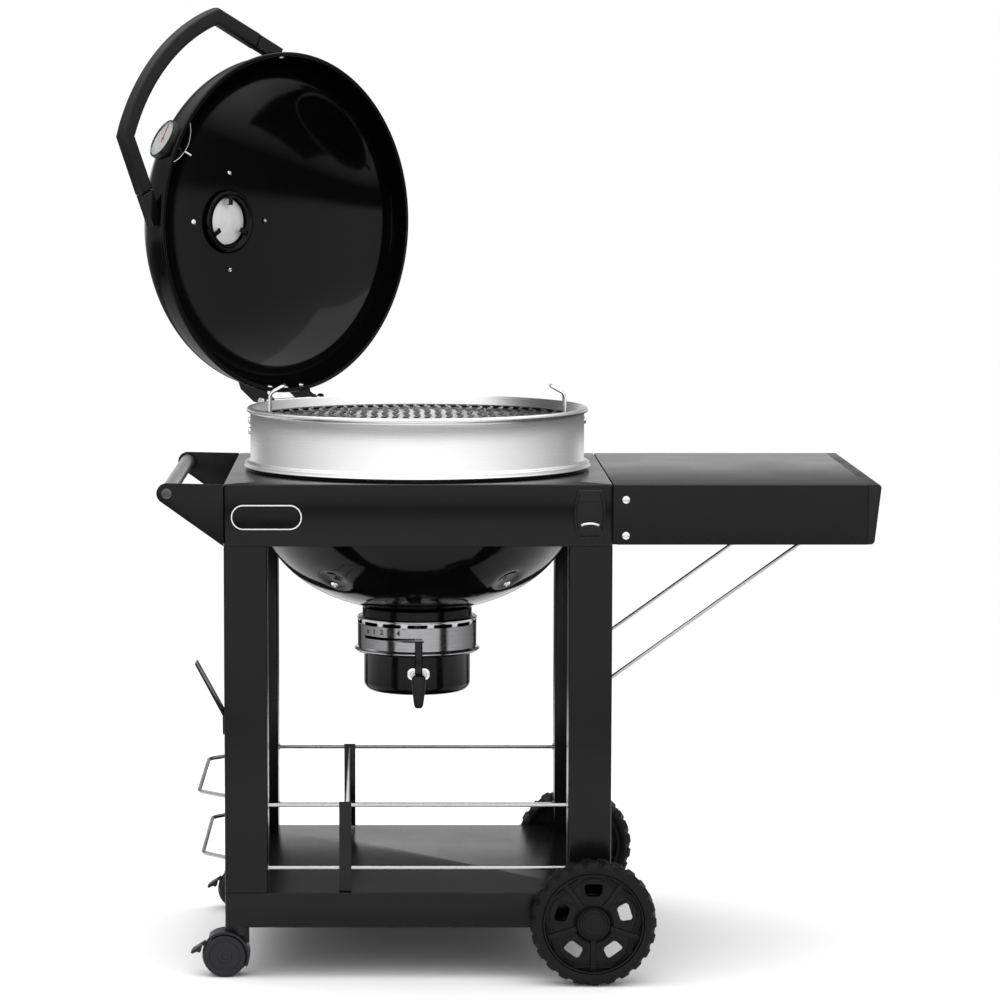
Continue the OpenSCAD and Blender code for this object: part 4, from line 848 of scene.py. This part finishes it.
LEVER_A, GRIP_A, LEVER_R = 262, 271, 121.0
s = Shape()
s.add(xform(box(5, LEVER_R - 1, -6, 6, 535.7, 538.3, 1, 0.6), turn_z(LEVER_A)))
arm = arc2(0, 0, LEVER_R + 2.8, LEVER_A - 4, GRIP_A + 4, 12) + arc2(0, 0, COLLAR_R + 3.2, GRIP_A + 4,
    LEVER_A - 4, 12)
s.add(xform(plate([arm], 2.4, 0.5), place(0, 0, 535.8)))
s.add(xform(box(LEVER_R - 0.9, LEVER_R + 1.9, -6.4, 6.4, 473, 538, 2.5, 0.6), turn_z(GRIP_A)))
put("damper_lever", s, "gloss_black_steel", "damper")
s = Shape()
s.add(lathe([(0, 533.2), (6, 533.2), (6, 586), (0, 586)], 32))
s.add(lathe([(0, 580.5), (14, 580.5), (14, 584.5), (12, 586), (0, 586)], 40))
for az in (90, 210, 330):
    az += 50
    blade = arc2(0, 0, 78, az - 23.5, az + 23.5, 14) + [(12 * math.cos(rad(az)), 12 * math.sin(rad(az)))]
    s.add(xform(plate([blade], 1.6, 0.2), place(0, 0, 580.6)))
put("damper_blades", s, "damper_steel", "damper", "damper_rotor")
put("lever_grip", xform(grip_form(), turn_z(GRIP_A) @ place(LEVER_R + 1, 0, 452) @ Matrix.Rotation(rad(14), 4,
    "Y") @ turn_z(90)),
    "black_plastic", "damper", sharp=45)

# ---- lid ---------------------------------------------------------------------------------------
def dome(r):
    return LID_Z + SKIRT + DOME * math.sqrt(max(0.0, 1 - (r / LID_R) ** 2))


out = []
for i in range(49):
    t = PI / 2 * i / 48
    r = LID_R * math.cos(t)
    if r > 46:
        out.append((r, LID_Z + SKIRT + DOME * math.sin(t)))
out.append((46, dome(46)))
inn = [((LID_R - 1.5) * (r / LID_R), z - 1.5) for r, z in reversed(out)]
line = [(LID_R - 1.5, LID_Z + 0.4), (LID_R, LID_Z + 0.4)] + out + inn
s = Shape().add(lathe(line, 224))
s.add(lathe(arc2(LID_R + 3, LID_Z + 3.3, 3.0, 0, 360, 14)[:-1], 192))
s.add(lathe([(LID_R - 1.4, LID_Z + 4.2), (LID_R + 0.5, LID_Z + 2.2), (LID_R + 2, LID_Z + 2.0),
    (LID_R + 2, LID_Z + 6.0),
             (LID_R, LID_Z + 7.5)], 192))
put("lid_dome", s, "enamel", "lid", "lid_shell", xf=OPEN, sharp=40)

# rolled ring inside the lid, its clips, and the vent body outside
s = Shape()
z0 = dome(46) - 1.5
s.add(lathe(arc2(51.5, z0 - 3.2, 6.0, 0, 360, 16)[:-1], 96))
s.add(lathe([(44.2, z0 - 8.4), (46.4, z0 - 8.4), (46.4, z0 + 4), (44.2, z0 + 4)], 72))
for a in (0, 120, 240):
    m = turn_z(HINGE_A + 180 + a)
    s.add(xform(box(30, 47, -4.5, 4.5, z0 - 9.6, z0 - 7.9, 1.2, 0.5), m))
    s.add(xform(box(29.5, 31.5, -4.5, 4.5, z0 - 9.6, z0 - 4.5, 0.8, 0.4), m))
put("vent_inner_ring", s, "bucket_black", "lid", xf=OPEN, sharp=45)
VENT_Z = LID_Z + 175
base = [(46.2, dome(46.2) + 0.4)] + [(r, dome(r) + 0.4) for r in (60, 75, 88, 97)] + [(98, dome(98) + 1.5),
    (98, dome(98) + 4)] \
    + [(96.5, dome(96.5) + 5.6), (84, VENT_Z - 7), (74, VENT_Z - 2.2), (68, VENT_Z), (54, VENT_Z),
    (54, VENT_Z + 21.6),
       (51, VENT_Z + 21.6), (51, VENT_Z - 1), (46.2, VENT_Z - 1)]
vent = put("vent_body", lathe(base, 128), "bucket_black", "lid", "top_vent_base", xf=OPEN, sharp=40)
windows = [xform(plate([rr(22, 10, 4.9, 6)], 24, 0.01, 0), OPEN @ turn_z(60 * i) @ place(40, 0, VENT_Z + 12)
                 @ SIDEWAYS) for i in range(6)]
cut(vent, *windows)
g = 0.3
cap_prof = [(0, VENT_Z + 26 + g), (59, VENT_Z + 24 + g), (61.5, VENT_Z + 21 + g), (61.5, VENT_Z + g),
    (63.9, VENT_Z + g),
            (63.9, VENT_Z + 22 + g), (63, VENT_Z + 25 + g), (60.5, VENT_Z + 27.6 + g), (56, VENT_Z + 29.2 + g),
            (40, VENT_Z + 30.2 + g), (38.5, VENT_Z + 29.4 + g), (34, VENT_Z + 29.6 + g),
            (32.5, VENT_Z + 30.7 + g), (0, VENT_Z + 30.9 + g)]
vcap = put("vent_cap_shell", lathe(cap_prof, 128), "vent_aluminium", "vent_cap", "top_vent_cap", xf=OPEN,
    sharp=40)
windows = [xform(plate([rr(22, 10, 4.9, 6)], 30, 0.01, 0), OPEN @ turn_z(60 * i) @ place(55, 0, VENT_Z + 12)
                 @ SIDEWAYS) for i in range(6)]
cut(vcap, *windows)
s = Shape()
s.add(lathe([(0, dome(0) - 1), (39.5, dome(0) - 1), (41, dome(0) - 0.6), (41, dome(0) + 0.6),
    (39.5, dome(0) + 1), (0, dome(0) + 1)], 96))
s.add(lathe([(0, dome(0) - 2), (2.6, dome(0) - 2), (3, dome(0) - 1.6), (3, VENT_Z + 26), (0, VENT_Z + 26)], 24))
s.add(lathe([(3.2, dome(0) - 1.5), (6, dome(0) - 1.5), (6, dome(0) - 1), (3.2, dome(0) - 1)], 24))
for a in (40, 160, 280):
    s.add(xform(box(18, 26, -1.2, 1.2, dome(0) - 1.4, dome(0) - 0.8, 0.5, 0.2), turn_z(a)))
put("vent_baffle", s, "vent_aluminium", "vent_cap", xf=OPEN)

# screws inside the lid
s = Shape()
for az in (225, 315):
    s.add(xform(screw_head(6, 3), OPEN @ turn_z(az) @ place(LID_R - 2.2, 0,
        LID_Z + 21) @ Matrix.Rotation(rad(-90), 4, "Y")))
for y in (-38, 0, 38):
    x = math.sqrt((LID_R - 1.5) ** 2 - y * y)
    s.add(xform(screw_head(6, 3), OPEN @ turn_z(HINGE_A) @ place(x - 0.6, y,
        LID_Z + 13) @ Matrix.Rotation(rad(-90), 4, "Y")))
for i in range(4):
    s.add(xform(screw_head(5, 2.8), OPEN @ turn_z(45 + 90 * i) @ place(87, 0,
        dome(87) - 1.7) @ Matrix.Rotation(rad(180 - 18), 4, "Y")))
put("lid_screw_heads", s, "bright_steel", "lid", "lid_screws")

# handle: two legs and a bowed bar, with separate foot brackets
REACH, CORNER, HALF_T, BASE, CUT = 396.0, (147.0, 361.0), 14.0, 206.5, 265.0
bow = REACH - CORNER[1]
bow_r = (CORNER[0] ** 2 + bow ** 2) / (2 * bow)
bow_a = math.degrees(math.asin(CORNER[0] / bow_r))


def offset_path(points, d):
    out = []
    for i, p in enumerate(points):
        a = points[max(0, i - 1)]
        b = points[min(len(points) - 1, i + 1)]
        u = Vector((p[0] - a[0], p[1] - a[1])) if i else Vector((b[0] - p[0], b[1] - p[1]))
        w = Vector((b[0] - p[0], b[1] - p[1])) if i < len(points) - 1 else u
        u, w = u.normalized(), w.normalized()
        n1, n2 = Vector((-u.y, u.x)), Vector((-w.y, w.x))
        m = (n1 + n2).normalized()
        m *= d / max(0.96, m.dot(n1))
        out.append((p[0] + m.x, p[1] + m.y))
    return out


def on_leg(t, e):
    return (e * (BASE + (CORNER[0] - BASE) * t), -(BASE + (CORNER[1] - BASE) * t))


t_cut = (CUT - BASE) / (CORNER[1] - BASE)
arc_pts = arc2(0, -(REACH - bow_r), bow_r, -90 - bow_a, -90 + bow_a, 22)
spine = [on_leg(t_cut + 0.004, -1)] + arc_pts + [on_leg(t_cut + 0.004, 1)]
grip = offset_path(spine, HALF_T - 0.2) + list(reversed(offset_path(spine, -HALF_T + 0.2)))
put("handle_bar", xform(plate([grip], 21.6, 5.0, 5), OPEN @ place(0, 0, LID_Z + 25 - 10.8)), "black_plastic",
    "lid",
    "lid_handle_grip", sharp=50)
s = Shape()
for e in (-1, 1):
    leg = [on_leg(0.02, e), on_leg(t_cut - 0.006, e)]
    side = offset_path(leg, HALF_T - 1.0) + list(reversed(offset_path(leg, -HALF_T + 1.0)))
    s.add(xform(plate([side], 18, 2.5, 4), OPEN @ place(0, 0, LID_Z + 25 - 9)))
brackets = put("handle_feet", s, "gloss_black_steel", "lid", "lid_handle_brackets",
    sharp=50)
solid = [(0, LID_Z - 2), (LID_R + 0.2, LID_Z - 2)] + [(LID_R * math.cos(PI / 2 * i / 24) + 0.2,
    LID_Z + SKIRT + DOME * math.sin(PI / 2 * i / 24) + 0.2)
                                                  for i in range(24)] + [(0, LID_Z + SKIRT + DOME + 0.2)]
cut(brackets, xform(lathe(solid, 128), OPEN))

# thermometer: a dial in a case outside, a probe and its bowed guard inside
TH, TA = 44.0, 255.0
tx = LID_R * math.sqrt(1 - ((TH - SKIRT) / DOME) ** 2)
DIAL = OPEN @ turn_z(TA) @ place(tx, 0, LID_Z + TH) @ Matrix.Rotation(math.atan2(tx / LID_R ** 2,
    (TH - SKIRT) / DOME ** 2), 4, "Y")
s = Shape()
s.add(lathe([(0, -9.4), (7.6, -9.4), (7.6, -4), (0, -4)], 6))
bend = (45.0 ** 2 + 18.0 ** 2) / 36.0
reach = math.degrees(math.asin(45 / bend))
strap = arc2(0, -30 + bend, bend - 0.1, -90 - reach, -90 + reach, 28) + arc2(0, -30 + bend, bend - 1.9,
    -90 + reach, -90 - reach, 28)
s.add(xform(plate([strap], 33.6, 0.35, 2), place(-2.8, 0, 0) @ SIDEWAYS))
put("thermometer_inner", s, "black_plastic", "lid", xf=DIAL, sharp=40)
case = put("thermometer_body", lathe([(0, -13), (35.4, -13), (35.9, -12), (35.9, 5.6), (35.4, 7.2), (34.2, 7.9),
    (33.3, 7.9), (33, 7.4),
                                      (33, 4.1), (0, 4.1)], 96), "black_plastic", "lid", "thermometer_case",
                                      xf=DIAL, sharp=40)
cut(case, xform(lathe(solid, 128), OPEN))
s = Shape()
s.add(sweep([(0, 0, 2), (0, 0, -30), (0, 0, -54.5)], 1.9, 16))
for y in (-19, 24):
    s.add(xform(lathe([(0, 0), (3.9, 0), (3.6, -1.6), (2, -2.3), (0, -2.4)], 24),
        place(21, y, -29.2 + (bend - math.sqrt(bend ** 2 - y * y)))))
edge = [(31.0, y, z) for y, z in arc2(0, -30 + bend, bend + 0.0, -90 - reach, -90 + reach, 28)]
s.add(sweep(edge, 0.35, 8))
put("thermometer_probe", s, "bright_steel", "lid", xf=DIAL)
put("thermometer_face", lathe([(0, 4.1), (32.8, 4.1), (32.8, 4.25), (0, 4.25)], 96), "dial_face", "lid",
    xf=DIAL)
s = Shape()
for i in range(28):
    a = -135 + 270 * i / 27
    s.add(xform(box(28 if i % 9 else 25.5, 31, -0.5, 0.5, 4.2, 4.34, 0.2, 0.03), turn_z(a)))
put("thermometer_marks", s, "mark_dark", "lid", xf=DIAL)

# ---- the CAD nodes that stay: finishes, and eased edges ---------------------------------------------
slot_of = {p["node"]: p["material_slot"] for p in frame["record"]["subparts"]}
shown = [n for n, o in frame["nodes"].items() if not o.hide_render]
for name in shown:
    o = frame["nodes"][name]
    o.data.materials.clear()
    o.data.materials.append(MAT[slot_of[name]])
for name in ("hinge_base", "hinge_arms", "caster_front_hood", "caster_rear_hood",
             "caster_front_brake", "caster_rear_brake", "axle", "hinge_pin"):
    o = frame["nodes"][name]
    b = o.modifiers.new("edges", "BEVEL")
    b.width = 0.0006
    b.segments = 2
    b.limit_method = "ANGLE"
    b.angle_limit = rad(40)

# ---- stage -----------------------------------------------------------------------------------
def area_light(name, at, aim, size, power, color=(1, 1, 1)):
    d = bpy.data.lights.new(name, "AREA")
    d.shape = "RECTANGLE"
    d.size, d.size_y = size
    d.energy = power
    d.color = color
    o = bpy.data.objects.new(name, d)
    bpy.context.collection.objects.link(o)
    o.location = at
    o.rotation_euler = (Vector(aim) - Vector(at)).to_track_quat("-Z", "Y").to_euler()
    o.visible_camera = False
    return o


area_light("overhead", (0.1, -0.2, 3.6), (0.1, -0.1, 0), (3.6, 3.4), 45)

me = bpy.data.meshes.new("floor")
bm = bmesh.new()
bmesh.ops.create_grid(bm, x_segments=2, y_segments=2, size=6)
bm.to_mesh(me)
bm.free()
floor = bpy.data.objects.new("floor", me)
bpy.context.collection.objects.link(floor)
m = bpy.data.materials.new("floor_pale")
m.use_nodes = True
t = m.node_tree
p = t.nodes["Principled BSDF"]
p.inputs["Base Color"].default_value = (0.93, 0.93, 0.93, 1)
p.inputs["Roughness"].default_value = 0.8
p.inputs["Specular IOR Level"].default_value = 0.1
geo = t.nodes.new("ShaderNodeTexCoord")
length = t.nodes.new("ShaderNodeVectorMath")
length.operation = "LENGTH"
t.links.new(geo.outputs["Object"], length.inputs[0])
fade = t.nodes.new("ShaderNodeMapRange")
fade.inputs["From Min"].default_value = 1.6
fade.inputs["From Max"].default_value = 3.2
fade.inputs["To Min"].default_value = 1.0
fade.inputs["To Max"].default_value = 0.0
t.links.new(length.outputs["Value"], fade.inputs["Value"])
t.links.new(fade.outputs["Result"], p.inputs["Alpha"])
me.materials.append(m)

world = bpy.data.worlds.new("studio")
bpy.context.scene.world = world
world.use_nodes = True
w = world.node_tree
bg = w.nodes["Background"]
path = w.nodes.new("ShaderNodeLightPath")
dirs = w.nodes.new("ShaderNodeTexCoord")
sep = w.nodes.new("ShaderNodeSeparateXYZ")
w.links.new(dirs.outputs["Generated"], sep.inputs["Vector"])


def ramp_of(value, x0, x1, y0, y1, smooth=False):
    r = w.nodes.new("ShaderNodeMapRange")
    r.interpolation_type = "SMOOTHSTEP" if smooth else "LINEAR"
    for name, v in (("From Min", x0), ("From Max", x1), ("To Min", y0), ("To Max", y1)):
        r.inputs[name].default_value = v
    w.links.new(value, r.inputs["Value"])
    return r.outputs["Result"]


def blend(weight, a, b):
    x = w.nodes.new("ShaderNodeMix")
    x.data_type = "FLOAT"
    w.links.new(weight, x.inputs["Factor"])
    for name, v in (("A", a), ("B", b)):
        if isinstance(v, float):
            x.inputs[name].default_value = v
        else:
            w.links.new(v, x.inputs[name])
    return x.outputs["Result"]


# the room: bright all round the front, falling off behind, with a lit backdrop, a bright
# ceiling and a dark floor
low = ramp_of(sep.outputs["Y"], -1, 1, 1.4, 0.1)
backdrop = ramp_of(sep.outputs["Y"], 0.68, 0.9, 0, 1, True)
high = blend(backdrop, low, 1.1)
sky = ramp_of(sep.outputs["Z"], 0.35, 0.85, 0, 1, True)
under = ramp_of(sep.outputs["Z"], -0.1, -0.18, 0, 1, True)
room = blend(ramp_of(sep.outputs["Z"], -0.09, 0.0, 0, 1, True), low, high)
room = blend(ramp_of(sep.outputs["Z"], 0.08, 0.2, 0, 1, True), room, blend(backdrop, low, 0.15))
room = blend(under, blend(sky, room, 1.7), 0.12)
w.links.new(blend(path.outputs["Is Camera Ray"], room, 1.0), bg.inputs["Strength"])
bg.inputs["Color"].default_value = (1, 1, 1, 1)

scene = bpy.context.scene
scene.view_settings.view_transform = "Standard"
scene.view_settings.look = "None"
cam = bpy.data.cameras.new("camera")
cam.sensor_width = 36
cam.lens = 136.2
cam.shift_x = 0.1014
cam.clip_end = 100
co = bpy.data.objects.new("camera", cam)
bpy.context.collection.objects.link(co)
co.location = (-0.0319, -6.4665, 1.3858)
co.rotation_euler = (rad(90 - 5.469), 0, 0)
scene.camera = co
